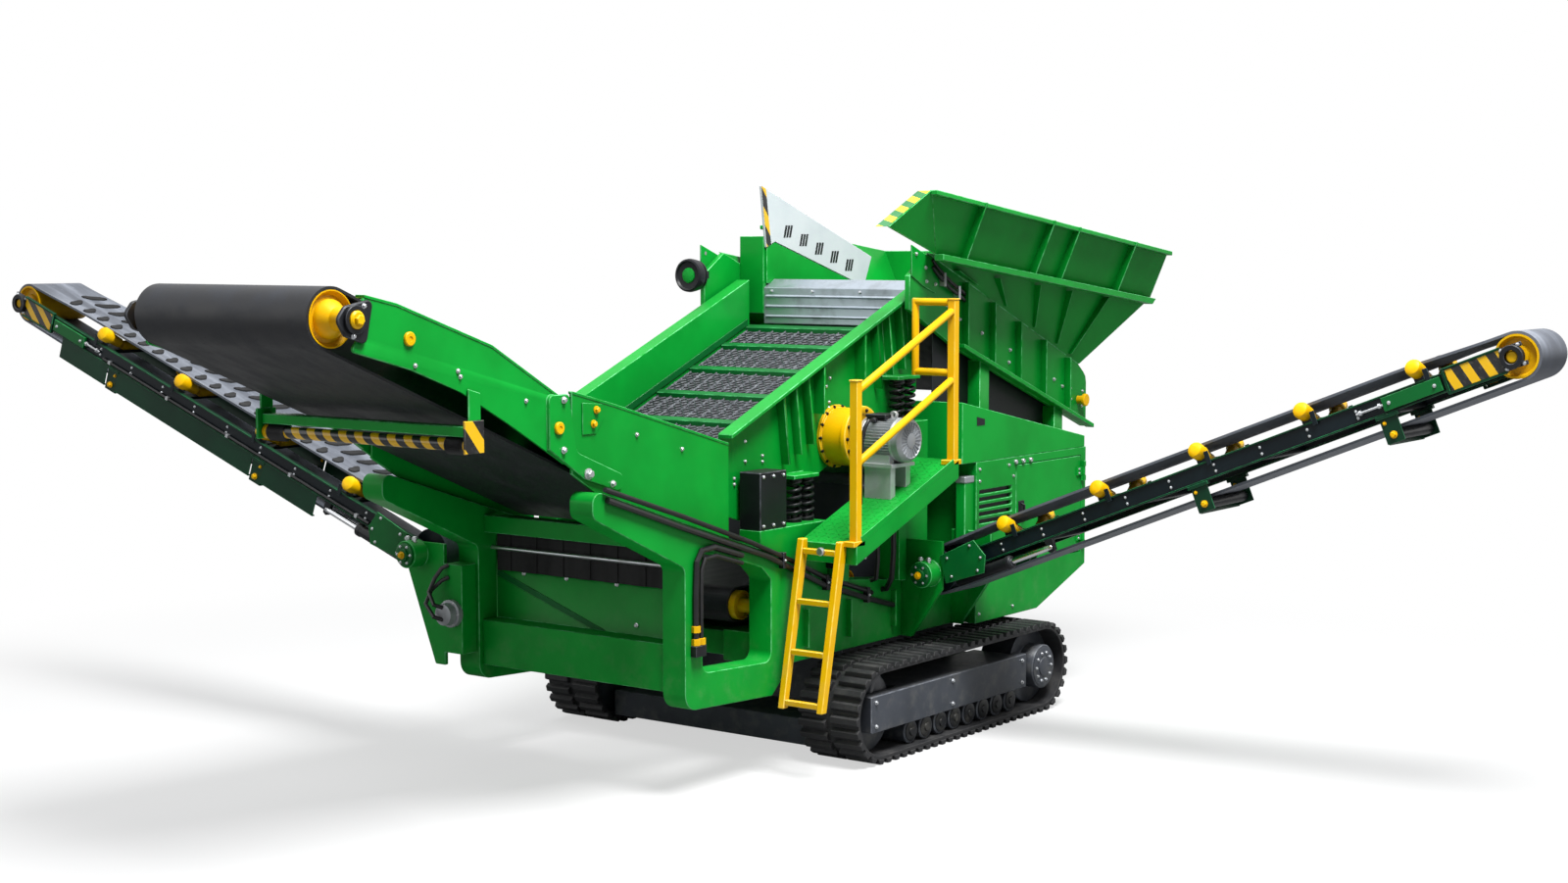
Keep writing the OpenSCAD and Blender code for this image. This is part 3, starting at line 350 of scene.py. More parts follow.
class Finish:
    """A material for one of the record's slots: a Principled shader and what feeds it."""

    def __init__(self, name, slot, **fixed):
        self.slot = slot
        self.material = bpy.data.materials.new(name)
        self.material.use_nodes = True
        self.tree = self.material.node_tree
        self.shader = self.tree.nodes["Principled BSDF"]
        for socket, value in fixed.items():
            self.shader.inputs[socket.replace("_", " ")].default_value = value
        self.place = self.node("ShaderNodeTexCoord", {}, {}, "Object")
        self.edge = self.node("ShaderNodeAttribute", {"attribute_name": "edge"}, {}, "Fac")

    def node(self, kind, settings, sockets, out=0):
        made = self.tree.nodes.new(kind)
        for key, value in settings.items():
            setattr(made, key, value)
        for key, value in sockets.items():
            if isinstance(value, Value):
                self.tree.links.new(value.socket, made.inputs[key])
            else:
                made.inputs[key].default_value = value
        return Value(self, made.outputs[out])

    def noise(self, scale, detail=4.0, stretch=(1.0, 1.0, 1.0)):
        place = self.node("ShaderNodeVectorMath", {"operation": "MULTIPLY"}, {0: self.place, 1: stretch})
        return self.node("ShaderNodeTexNoise", {}, {"Vector": place, "Scale": scale, "Detail": detail,
                                                    "Roughness": 0.6}, "Fac")

    def ramp(self, value, low, high):
        return self.node("ShaderNodeMapRange", {"interpolation_type": "SMOOTHSTEP"},
                         {"Value": value, "From Min": low, "From Max": high}, "Result")

    def along(self, direction):
        return self.node("ShaderNodeVectorMath", {"operation": "DOT_PRODUCT"},
                         {0: self.place, 1: direction}, "Value")

    def facing_up(self):
        normal = self.node("ShaderNodeNewGeometry", {}, {}, "Normal")
        return self.node("ShaderNodeSeparateXYZ", {}, {0: normal}, "Z")

    def mix(self, amount, first, second):
        return self.node("ShaderNodeMix", {"data_type": "RGBA"}, {0: amount, 6: first, 7: second}, 2)

    def feed(self, socket, value):
        self.tree.links.new(value.socket, self.shader.inputs[socket])

    def bump(self, height, strength, distance):
        self.feed("Normal", self.node("ShaderNodeBump", {}, {"Height": height, "Strength": strength,
                                                             "Distance": distance}))


def tint(red, green, blue):
    """A colour as a screen shows it, 0 to 255, turned into the linear light that a shader works in."""
    return tuple(c / 3294.6 if c < 11 else ((c / 255 + 0.055) / 1.055) ** 2.4
                 for c in (red, green, blue)) + (1.0,)


print("mid grey on a screen is", round(tint(128, 128, 128)[0], 3), "in linear light")

# %% [markdown]
# ## Machine paint
# The plant is sprayed with two-pack enamel: an even, glossy coat that drifts a little in tone from panel to
# panel. A single colour would look like plastic. So the tone drifts over a metre or so, stone dust settles on
# what faces up, splashes gather near the ground, painted shade darkens the corners, and the bevelled edges
# are painted paler: partly as wear where the paint is thin, and partly as a painted highlight.

# %% Enamel
DUST = tint(176, 172, 158)


def enamel(name, slot, colour, deep, edge_highlight, rough=0.34, dust=0.06, gloss=0.25):
    paint = Finish(name, slot, Specular_IOR_Level=gloss)
    drift = paint.ramp(paint.noise(1.7, 3), 0.32, 0.68)
    speck = paint.ramp(paint.noise(38, 6), 0.5, 0.78)
    settled = paint.ramp(paint.facing_up(), 0.25, 0.95) * (0.35 + 0.65 * speck)
    splash = (1 - paint.ramp(paint.along(Z), 0.25, 1.3)) * paint.ramp(paint.noise(9, 5), 0.46, 0.72)
    # Bevelled edges turn paler: partly thin, rubbed paint and partly a painted highlight.
    pale_edges = paint.edge * paint.ramp(paint.noise(14, 5), 0.3, 0.7)
    # Ambient occlusion darkens the corners towards a deep tone: this is painted shade.
    corner = paint.node("ShaderNodeAmbientOcclusion", {"samples": 3}, {"Distance": 0.22}, "AO")
    corner_shade = (1 - paint.ramp(corner, 0.25, 0.95)) * (0.7 + 0.3 * drift)
    shade = paint.mix(drift, deep, colour)
    shade = paint.mix(0.62 * corner_shade, shade, tuple(0.3 * c for c in deep[:3]) + (1.0,))
    shade = paint.mix(dust * settled, shade, DUST)
    shade = paint.mix(0.12 * splash, shade, DUST)
    shade = paint.mix(0.75 * pale_edges, shade, edge_highlight)
    paint.feed("Base Color", shade)
    paint.feed("Roughness", rough + 0.1 * speck + 0.25 * settled)
    paint.bump(paint.noise(95, 3), 0.05, 0.003)
    return paint


# The third colour of each enamel is its edge tint: a painted highlight mixed with wear.
green = enamel("green_enamel", "green_paint", tint(7, 166, 54), tint(5, 148, 46), tint(130, 224, 160),
               dust=0.035, gloss=0.2)
deep_green = enamel("deep_green_enamel", "green_paint", tint(8, 62, 38), tint(6, 48, 30), tint(40, 140, 84),
                    dust=0.03)
mid_green = enamel("mid_green_enamel", "green_paint", tint(7, 112, 48), tint(5, 96, 40), tint(84, 184, 116),
                   dust=0.04)
yellow = enamel("yellow_enamel", "yellow_paint", tint(255, 200, 6), tint(246, 186, 0), tint(255, 232, 130),
                dust=0.03)
white = enamel("white_enamel", "white_paint", tint(222, 228, 232), tint(208, 216, 222), tint(240, 242, 244))
navy = enamel("navy_enamel", "navy_paint", tint(20, 32, 38), tint(13, 22, 28), tint(70, 92, 98), dust=0.04)
slate = enamel("slate_enamel", "dark_paint", tint(78, 82, 90), tint(62, 66, 73), tint(128, 132, 140),
               dust=0.12)
black = enamel("black_enamel", "black_paint", tint(30, 32, 36), tint(20, 21, 24), tint(92, 95, 102),
               rough=0.36)
ENAMELS = (green, deep_green, mid_green, yellow, white, navy, slate, black)
print("enamels:", [finish.material.name for finish in ENAMELS])

# %% [markdown]
# ## Rubber, steel and castings
# Belts are smooth rubber, polished by stone along their length and grey with fine dust. The side belts are
# lighter grey-blue as well: a painted reflection of the sky on black rubber seen at a grazing angle. Tracks
# are the same rubber, scuffed by the ground. Bolts are zinc plated, the feed plate is bare rolled steel, and
# the motor is a cast alloy with a dull skin. Each needs only two or three noises at the scale of what made
# the marks.

# %% Bare materials
def rubber(name, slot, colour, grey, stretch, rough=0.5):
    """Rubber with dust drawn out along one direction."""
    made = Finish(name, slot)
    streak = made.ramp(made.noise(7, 6, stretch), 0.38, 0.74)
    fine = made.noise(150, 4)
    scuff = made.ramp(made.noise(26, 7), 0.55, 0.8)
    pale_edges = made.edge * made.ramp(made.noise(20, 4), 0.35, 0.7)
    settled = 0.3 + 0.7 * made.ramp(made.facing_up(), -0.2, 0.7)
    made.feed("Base Color", made.mix(settled * (0.55 * streak + 0.3 * scuff) + 0.3 * pale_edges, colour, grey))
    made.feed("Roughness", rough + 0.16 * streak + 0.12 * scuff)
    made.bump(fine + 0.6 * scuff, 0.12, 0.002)
    return made


def metal(name, slot, colour, dull, stretch, rough, metallic=0.9):
    """Bare metal with rolling marks or a cast skin, and stains."""
    made = Finish(name, slot)
    grain = made.noise(60, 5, stretch)
    stain = made.ramp(made.noise(6, 6), 0.42, 0.75)
    made.feed("Base Color", made.mix(0.7 * stain, colour, dull))
    made.feed("Metallic", metallic - 0.35 * stain)
    made.feed("Roughness", rough + 0.2 * stain + 0.1 * grain)
    made.bump(grain, 0.08, 0.002)
    return made


belt_rubber = rubber("belt_rubber", "black_rubber", tint(20, 22, 27), tint(50, 54, 62), (1, 0.12, 1))
# The side belts' grey-blue base is a painted sky reflection, with dust streaks over it.
side_belt_sheen = rubber("side_belt_dust_and_painted_sheen", "black_rubber", tint(84, 89, 99), tint(176, 182, 194),
                     (0.12, 1, 0.3))
cleat_rubber = rubber("cleat_rubber", "black_rubber", tint(9, 10, 12), tint(24, 25, 28), (1, 1, 1), 0.8)
track_rubber = rubber("track_rubber", "black_rubber", tint(26, 27, 30), tint(76, 75, 74), (1, 1, 1), 0.62)
hose_rubber = rubber("hose_rubber", "black_rubber", tint(14, 15, 17), tint(40, 40, 43), (1, 1, 1), 0.38)
deck_rubber = rubber("deck_wire", "deck_rubber", tint(60, 64, 70), tint(166, 170, 176), (6, 6, 6), 0.4)
# Near black backing for the deck: painted shade seen between the wires.
deck_shade_backing = rubber("deck_shade_backing", "deck_rubber", tint(12, 13, 15), tint(30, 32, 35), (14, 14, 14), 0.7)
curtain_rubber = rubber("curtain_rubber", "black_rubber", tint(9, 10, 11), tint(24, 24, 26), (1, 1, 0.2), 0.8)
zinc = metal("zinc_plate", "steel", tint(205, 208, 212), tint(150, 150, 148), (1, 1, 1), 0.28)
steel = metal("rolled_steel", "steel", tint(176, 186, 196), tint(128, 134, 140), (1, 0.05, 0.05), 0.34, 0.8)
casting = metal("grey_casting", "grey_casting", tint(168, 172, 176), tint(126, 128, 130), (1, 1, 1),
                0.42, 0.55)
silver = metal("motor_silver", "grey_casting", tint(206, 209, 212), tint(164, 166, 169), (1, 1, 1), 0.34, 0.6)
chrome = metal("chrome_rod", "steel", tint(222, 224, 228), tint(196, 198, 202), (1, 1, 1), 0.1, 1.0)
BARE = (belt_rubber, side_belt_sheen, cleat_rubber, track_rubber, hose_rubber, deck_rubber, deck_shade_backing,
        curtain_rubber, zinc, steel, casting, silver, chrome)
print("bare materials:", len(BARE))

# %% [markdown]
# ## Warning stripes
# Edges that a person could walk into are striped. A striped finish needs no picture: how far a point lies
# along one slanting direction, divided by the pitch and cut at a half, is already a stripe.

# %% Striped enamel
def striped(name, slot, first, second, direction, pitch):
    made = Finish(name, slot, Coat_Weight=0.25, Coat_Roughness=0.15)
    speck = made.ramp(made.noise(34, 6), 0.52, 0.8)
    pale_edges = made.edge * made.ramp(made.noise(14, 5), 0.3, 0.7)
    band = (made.along([c / pitch for c in direction]) % 1.0) > 0.5
    shade = made.mix(band, first, second)
    made.feed("Base Color", made.mix(0.16 * speck + 0.3 * pale_edges, shade, DUST))
    made.feed("Roughness", 0.32 + 0.16 * speck)
    made.bump(made.noise(95, 3), 0.05, 0.003)
    return made


HAZARD = (tint(250, 196, 10), tint(24, 24, 26))
stripes_across = striped("hazard_across", "yellow_paint", *HAZARD, (1, 0, 0.75), 0.125)
stripes_along = striped("hazard_along", "yellow_paint", *HAZARD, (0, 1, 0.8), 0.17)
stripes_wing = striped("hazard_wing", "yellow_paint", tint(246, 206, 30), tint(8, 122, 52), (0.4, 0.5, 1),
                       0.11)
print("stripes:", [finish.material.name for finish in (stripes_across, stripes_along, stripes_wing)])

# %% [markdown]
# ## Plate work
# Most of the machine is folded and welded plate, and the CAD solids have its true shape. They only lack
# softened edges, so each is copied, its flat faces are joined again from the triangles that the file stores,
# and the copy is bevelled and painted.

# %% Painted plate
PLATES = (
    (green, 0.004, ("chassis_rails", "chassis_sides", "front_beams", "engine_housing", "engine_canopy",
                    "left_engine_door", "right_engine_door", "walkway", "screen_walls", "spring_towers",
                    "chute_cheeks", "hopper_rear_wall", "tail_sides", "discharge_panels", "boom_brackets")),
    (slate, 0.006, ("track_frames", "bolster", "power_pack", "tail_bed", "feeder_bed")),
    (black, 0.006, ("spring_guards", "tail_bearings")),
    (mid_green, 0.004, ("screen_deck_frame",)),
    (white, 0.003, ("deflector_plate",)),
    (steel, 0.003, ("feed_plate",)),
)
for finish, bevel, nodes in PLATES:
    for node in nodes:
        dress(node, finish, bevel)
coat("hydraulic_hoses", hose_rubber)
print("dressed plates:", sum(len(nodes) for _, _, nodes in PLATES))

# %% [markdown]
# ## Plates laid against each other
# The feeder sides and the hopper walls are flat plates with ribs welded on at angles. A bevel on the joined
# solid would fold faces over wherever a rib meets a wall. So each plate is drawn alone, as a welder would cut
# it, and laid against the next one.

# %% Feeder sides
def on_line(line, y):
    """The height of a sloping line at one place along the machine."""
    (y0, z0), (y1, z1) = line
    return z0 + (z1 - z0) * (y - y0) / (y1 - y0)


FEED_TOP, FEED_LOW = ((0.05, 3.23), (2.3, 2.33)), ((0.62, 2.51), (2.42, 1.86))
FEED_RIBS = (0.7, 1.05, 1.4, 1.75, 2.1)
sides = Shape()
for s in SIDES:
    sides.side_plate(s, [(0.05, 3.0), (0.27, on_line(FEED_TOP, 0.27)), (2.3, 2.33), (2.376, 2.273),
                         (2.408, 2.24), (2.42, 2.19), (2.42, 1.9), (2.41, 1.872), (2.392, 1.87), (0.62, 2.51),
                         (0.05, 2.78)], 0.83, 0.87)
    sides.side_plate(s, [*FEED_LOW, (2.42, 1.89), (0.62, 2.54)], 0.869, 0.94)
    for y in FEED_RIBS:
        back = y + 0.014
        sides.side_plate(s, [(y, on_line(FEED_LOW, y) + 0.028), (y, on_line(FEED_TOP, y) - 0.02),
                             (back, on_line(FEED_TOP, back) - 0.02), (back, on_line(FEED_LOW, back) + 0.028)],
                         0.868, 0.92)
piece("feeder_side_plates", sides, green, nodes=["feeder_sides"], bevel=0.004)
print("feeder ribs on a side:", len(FEED_RIBS))

# %% Hopper walls
def sheet(shape, s, corners, near, far):
    """A sheet with straight edges, folded where its corners need it, between two depths outwards."""
    n = len(corners)
    points = [(s * (c.x + depth), c.y, c.z) for depth in (near, far) for c in corners]
    fan = [[0, i, i + 1] for i in range(1, n - 1)]
    rim = [[i, (i + 1) % n, n + (i + 1) % n, n + i] for i in range(n)]
    shape.add(points, fan + [[n + i for i in face[::-1]] for face in fan] + rim)


HOPPER = {"a": Vector((0.856, 0.25, 3.15)), "b": Vector((0.856, 2.3, 2.33)), "c": Vector((1.1, 2.925, 2.8)),
          "d": Vector((1.1, -0.02, 3.14)), "e": Vector((1.25, 2.92, 3.15)), "f": Vector((1.25, -0.3, 3.54)),
          "g": Vector((1.1, -0.56, 3.31))}
WALL_RIBS = (0.1, 0.4, 0.52, 0.8)
SHEET = 0.014
for s, cut in ((1, 0.0), (-1, 0.5)):
    wall, up = Shape(), Vector((0, 0, 0.0003))
    a, b, c, d, e, f, g = (HOPPER[k] for k in "abcdefg")
    d, f = d.lerp(c, cut), f.lerp(e, cut)
    sheet(wall, s, [a, b, c, d], 0, SHEET)
    sheet(wall, s, [d + up, c + up, e, f], 0, SHEET)
    if s > 0:
        sheet(wall, s, [d + 2 * up, f + up, g], 0, SHEET)
    for k in WALL_RIBS:
        foot, wide = d.lerp(c, k), Vector((0, SHEET, 0))
        head = f.lerp(e, (foot.y - f.y) / (e.y - f.y))
        sheet(wall, s, [foot, foot + wide, head + wide, head], 0.006, 0.069)
    sheet(wall, s, [d - up, c - up, c + Vector((0, -0.0532, -0.04)), d - Vector((0, 0, 0.04))], 0.003, 0.074)
    sheet(wall, s, [f - up, e - up, e - Vector((0, 0, 0.03)), f - Vector((0, 0, 0.03))], 0.003, 0.054)
    name = SIDE_NAME[s]
    piece(name + "_hopper_plates", wall, green, nodes=[name + "_hopper_wall"], bevel=0.004, smooth=25)
print("hopper ribs on a side:", len(WALL_RIBS))

# %% [markdown]
# ## Crawler tracks
# Each track is a rubber band with two rows of lugs that bite the ground, set half a pitch apart so that the
# machine rolls smoothly. The band could be one long strip bent by a curve. It is simpler to walk round the
# loop and set a lug at each step, with its outer face on the CAD outline.

# %% Rubber tracks
TRACK_R, TRACK_FRONT, TRACK_REAR, LUGS = 0.31, -0.82, 1.15, 66
STRAIGHT = TRACK_REAR - TRACK_FRONT
LOOP = 2 * STRAIGHT + math.tau * TRACK_R


def on_track(run):
    """The centre of the bend and the outward direction at a distance round the loop."""
    run %= LOOP
    if run < STRAIGHT:
        return Vector((0, TRACK_FRONT + run, TRACK_R)), Vector((0, 0, 1))
    run -= STRAIGHT
    if run < math.pi * TRACK_R:
        turn = run / TRACK_R
        return Vector((0, TRACK_REAR, TRACK_R)), Vector((0, math.sin(turn), math.cos(turn)))
    run -= math.pi * TRACK_R
    if run < STRAIGHT:
        return Vector((0, TRACK_REAR - run, TRACK_R)), Vector((0, 0, -1))
    turn = (run - STRAIGHT) / TRACK_R
    return Vector((0, TRACK_FRONT, TRACK_R)), Vector((0, -math.sin(turn), -math.cos(turn)))


def crawler(band, side):
    rings = []
    for i in range(129):
        centre, out = on_track(LOOP * i / 128)
        rings.append([centre + out * r + Vector((side * x, 0, 0))
                      for x, r in ((0.84, 0.258), (1.27, 0.258), (1.27, 0.282), (0.84, 0.282))])
    band.skin(rings, ends=False)
    for i in range(LUGS):
        for row, (near, far) in enumerate(((0.832, 1.035), (1.075, 1.278))):
            centre, out = on_track(LOOP * (i + 0.5 * row) / LUGS)
            ahead = Vector((0, out.z, -out.y))
            rings = [[centre + out * r + ahead * a + Vector((side * x, 0, 0)) for r, a in
                      ((0.28, -0.031), (0.31, -0.019), (0.31, 0.019), (0.28, 0.031))] for x in (near, far)]
            band.skin(rings)


tracks = Shape()
for s in SIDES:
    crawler(tracks, s)
piece("rubber_tracks", tracks, track_rubber, nodes=["tracks"], bevel=0.003)
print("track lugs:", 4 * LUGS)

# %% [markdown]
# ## Conveyor belts
# A belt is one endless loop: it runs up over the head drum and back underneath. The side belts are carried in
# a trough, flat in the middle with the edges turned up, and flatten out before each drum. A loop of cross
# sections makes the tail belt and the two side belts, with the trough as one number; the feeder and fines
# belts keep their CAD shape and only get a finish.

# %% Belt loops
def ease(x):
    x = min(max(x, 0.0), 1.0)
    return x * x * (3 - 2 * x)


def trough(u, w, length, half, sag):
    """How far a troughed belt lies over a flat one: its middle hangs a little, and its edges turn up."""
    turned = min(max((abs(w) - 0.08) / (half - 0.08), 0.0), 1.0)
    return sag * (turned - 0.3) * ease(u / 0.7) * ease((length - u) / 0.7)


def belt(turn, length, tail_r, head_r, half, sag=0.0, thick=0.015):
    stations = [(length * i / 40, tail_r + (head_r - tail_r) * i / 40, 0.0, 1.0, True) for i in range(41)]
    for i in range(1, 24):
        a = math.pi * (0.5 - i / 24)
        stations.append((length + head_r * math.cos(a), head_r * math.sin(a), math.cos(a), math.sin(a),
                         False))
    stations += [(length * (1 - i / 8), -head_r + (head_r - tail_r) * i / 8, 0.0, -1.0, False)
                 for i in range(9)]
    for i in range(1, 25):
        a = -math.pi * (0.5 + i / 24)
        stations.append((tail_r * math.cos(a), tail_r * math.sin(a), math.cos(a), math.sin(a), False))
    widths = [half * (k / 8 - 1) for k in range(17)]
    shape, rings = Shape(turn), []
    for u, v, nu, nv, carrying in stations:
        lift = [trough(u, w, length, half, sag) if carrying else 0.0 for w in widths]
        outer = [(u, w, v + d) for w, d in zip(widths, lift)]
        inner = [(u - nu * thick, w, v + d - nv * thick) for w, d in zip(widths, lift)]
        rings.append(outer + inner[::-1])
    return shape.skin(rings, ends=False)


def slope(origin, ahead, across, up):
    """A matrix for drawing along a conveyor: u ahead, w across, v up from its belt line."""
    turn = Matrix((ahead, across, up)).transposed().to_4x4()
    turn.translation = origin
    return turn


TAIL_SLOPE, TAIL_HEAD, TAIL_R = math.radians(22.7), Vector((0, -4.72, 2.84)), 0.16
tail_line = slope(TAIL_HEAD, (0, math.cos(TAIL_SLOPE), -math.sin(TAIL_SLOPE)), X,
                  (0, math.sin(TAIL_SLOPE), math.cos(TAIL_SLOPE)))
TAIL_LENGTH = 2.76 / math.cos(TAIL_SLOPE)
piece("tail_belt_loop", belt(tail_line, TAIL_LENGTH, TAIL_R, TAIL_R, 0.65), belt_rubber, nodes=["tail_belt"])
SIDE_SLOPE, SIDE_REACH = {1: math.radians(22), -1: math.radians(20)}, {1: 4.84, -1: 5.18}
HINGE_X = 1.12
SIDE_HINGE = {1: Vector((HINGE_X, 0.24, 1.09)), -1: Vector((-HINGE_X, -2.12, 1.3))}
SIDE_TAIL_R, SIDE_HEAD_R, SIDE_HALF, SIDE_SAG = 0.155, 0.14, 0.215, 0.03
SIDE_LENGTH, side_line = {}, {}


def on_conveyor(s, name, shape, finish, nodes=(), bevel=0.0):
    """A piece that rides on one of the side conveyors, with that side in its name."""
    side = SIDE_NAME[s]
    piece(side + name, shape, finish, side + "_conveyor", [side + node for node in nodes], bevel)


for s in SIDES:
    c, k = math.cos(SIDE_SLOPE[s]), math.sin(SIDE_SLOPE[s])
    SIDE_LENGTH[s] = (SIDE_REACH[s] - HINGE_X) / c
    side_line[s] = slope(SIDE_HINGE[s], (s * c, 0, k), Y, (-s * k, 0, c))
    loop = belt(side_line[s], SIDE_LENGTH[s], SIDE_TAIL_R, SIDE_HEAD_R, SIDE_HALF, SIDE_SAG)
    on_conveyor(s, "_belt_loop", loop, side_belt_sheen, nodes=["_belt"])
for node in ("feeder_belt", "fines_belt"):
    coat(node, belt_rubber)
print("tail belt length:", round(2 * TAIL_LENGTH + math.tau * TAIL_R, 2), "m")

# %% [markdown]
# ## Side conveyor frames
# Each side conveyor is a pair of light channels with cross ties. A channel is a web with two flanges, and the
# flanges keep the machine's colour while the web is dark, so they are separate pieces. The head of each frame
# carries a striped plate, because it hangs at head height.

# %% Channels, ties and head plates
def boom_frame(s):
    far = SIDE_LENGTH[s]
    web, flange, head = (Shape(side_line[s]) for _ in range(3))
    bays = [0.94, 0.37 * far, 0.74 * far, far - 0.47] if s < 0 else []
    for w in SIDES:
        web.side_slab(w, (-0.07, 0.258, -0.05), (far - 0.045, 0.268, 0.05), axis=1)
        for v in (-0.055, 0.045):
            flange.side_slab(w, (-0.07, 0.25, v), (far - 0.045, 0.28, v + 0.01), axis=1)
        head.side_slab(w, (far - 0.38, 0.279, -0.062), (far - 0.06, 0.288, 0.062), axis=1)
        for v in (-0.075, 0.062):
            flange.side_slab(w, (far - 0.4, 0.27, v), (far - 0.05, 0.294, v + 0.013), axis=1)
        flange.side_slab(w, (far - 0.4, 0.27, -0.062), (far - 0.385, 0.294, 0.062), axis=1)
        web.rod((0, w * 0.262, 0), (0, w * 0.316, 0), 0.04)
        for first, second in zip(bays, bays[1:]):
            flange.side_slab(w, (first + 0.06, 0.272, -0.2), (second - 0.06, 0.28, -0.054), axis=1)
            flange.side_slab(w, (first + 0.06, 0.255, -0.205), (second - 0.06, 0.28, -0.199), axis=1)
    for i in range(1, 5):
        web.slab((far * i / 5, -0.25, -0.055), (far * i / 5 + 0.06, 0.25, -0.015))
    web.lathe((0, -0.25, 0), Y, [(0, 0.04), (0.035, 0.04), (0.037, 0.138), (0.463, 0.138), (0.465, 0.04),
                                 (0.5, 0.04)])
    on_conveyor(s, "_boom_webs", web, navy, nodes=["_boom"], bevel=0.002)
    on_conveyor(s, "_boom_flanges", flange, deep_green, bevel=0.002)
    on_conveyor(s, "_head_plates", head, stripes_across, bevel=0.002)


for s in SIDES:
    boom_frame(s)
print("side conveyor frames:", {SIDE_NAME[s]: round(SIDE_LENGTH[s], 2) for s in SIDES})

# %% [markdown]
# ## Idlers
# A troughed belt runs on sets of three rolls: a flat one in the middle and a wing roll on each side that
# turns the edge up. From the side only the wing rolls' round outer ends show. The belt comes back flat on a
# single roll, hung under the frame in two small plates.

# %% Wing rolls and return rolls
ROLL_U = {1: [0.62 + (SIDE_LENGTH[1] - 1.164) * i / 4 for i in range(5)],
          -1: [0.75 + (SIDE_LENGTH[-1] - 1.704) * i / 3 for i in range(4)]}
RETURN_U = {1: (0.494 * SIDE_LENGTH[1], 0.805 * SIDE_LENGTH[1]),
            -1: (0.37 * SIDE_LENGTH[-1], 0.74 * SIDE_LENGTH[-1])}


def belt_top(s, u):
    """How far a side belt would lie over its middle line if it were flat."""
    return SIDE_TAIL_R - (SIDE_TAIL_R - SIDE_HEAD_R) * u / SIDE_LENGTH[s]


def idlers(s):
    rolls, stands, hangers, returns, marks = (Shape(side_line[s]) for _ in range(5))
    for u in ROLL_U[s]:
        rolls.rod((u, -0.11, 0.044), (u, 0.11, 0.044), 0.034, 20)
        stands.slab((u - 0.02, -0.25, 0.0), (u + 0.02, 0.25, 0.02))
        for w in SIDES:
            inner, outer = Vector((u, w * 0.13, 0.062)), Vector((u, w * 0.3, 0.148))
            reach = (outer - inner).length
            rolls.lathe(inner, outer - inner,
                        [(0, 0.028), (0.006, 0.036), (reach - 0.1, 0.038), (reach - 0.09, 0.048),
                         (reach - 0.024, 0.05), (reach - 0.01, 0.044), (reach - 0.002, 0.03), (reach, 0.014)],
                        24)
            stands.side_slab(w, (u - 0.03, 0.247, 0.02), (u + 0.03, 0.253, 0.1), axis=1)
            stands.side_slab(w, (u + 0.045, 0.282, 0.03), (u + 0.075, 0.288, 0.11), axis=1)
    for u in RETURN_U[s]:
        v = -belt_top(s, u) - 0.033
        returns.rod((u, -0.262, v), (u, 0.262, v), 0.032, 20)
        for w in SIDES:
            hangers.side_slab(w, (u - 0.055, 0.262, v - 0.045), (u + 0.055, 0.272, -0.05), axis=1)
            hangers.side_slab(w, (u - 0.07, 0.25, -0.075), (u + 0.07, 0.285, -0.055), axis=1)
            marks.bolt((u, w * 0.272, v), (0, w, 0), 0.022)
            marks.bolt((u - 0.03, w * 0.272, -0.1), (0, w, 0), 0.012)
        hangers.slab((u - 0.05, -0.262, v - 0.05), (u - 0.042, 0.262, v + 0.02))
    on_conveyor(s, "_idler_rolls", rolls, yellow, nodes=["_rollers"])
    on_conveyor(s, "_idler_stands", stands, navy, bevel=0.0015)
    on_conveyor(s, "_return_rolls", returns, black)
    on_conveyor(s, "_hanger_bolts", marks, yellow)
    on_conveyor(s, "_roll_hangers", hangers, deep_green, bevel=0.002)


for s in SIDES:
    idlers(s)
print("wing roll sets:", {SIDE_NAME[s]: len(ROLL_U[s]) for s in SIDES})

# %% [markdown]
# ## Head drums
# The drum that drives a belt is a steel shell with dished ends set a little way in, welded to a hub on the
# shaft. That dish is what shows from the side, so the whole drum is one turned profile. Its bearing sits in a
# black cast housing on the frame, which doesn't turn.

# %% Drums and their bearings
def drum(half, radius, shaft, shaft_end, inset):
    """The turned profile of a drum, from one shaft end to the other."""
    dish = [(-shaft_end, shaft * 0.8), (-shaft_end + 0.008, shaft), (-half + inset * 0.4, shaft),
            (-half + inset * 0.5, shaft * 1.7), (-half + inset * 0.9, shaft * 1.9),
            (-half + inset, radius * 0.8), (-half + inset * 0.55, radius * 0.88), (-half, radius * 0.9),
            (-half, radius)]
    return dish + [(-h, r) for h, r in dish[::-1]]


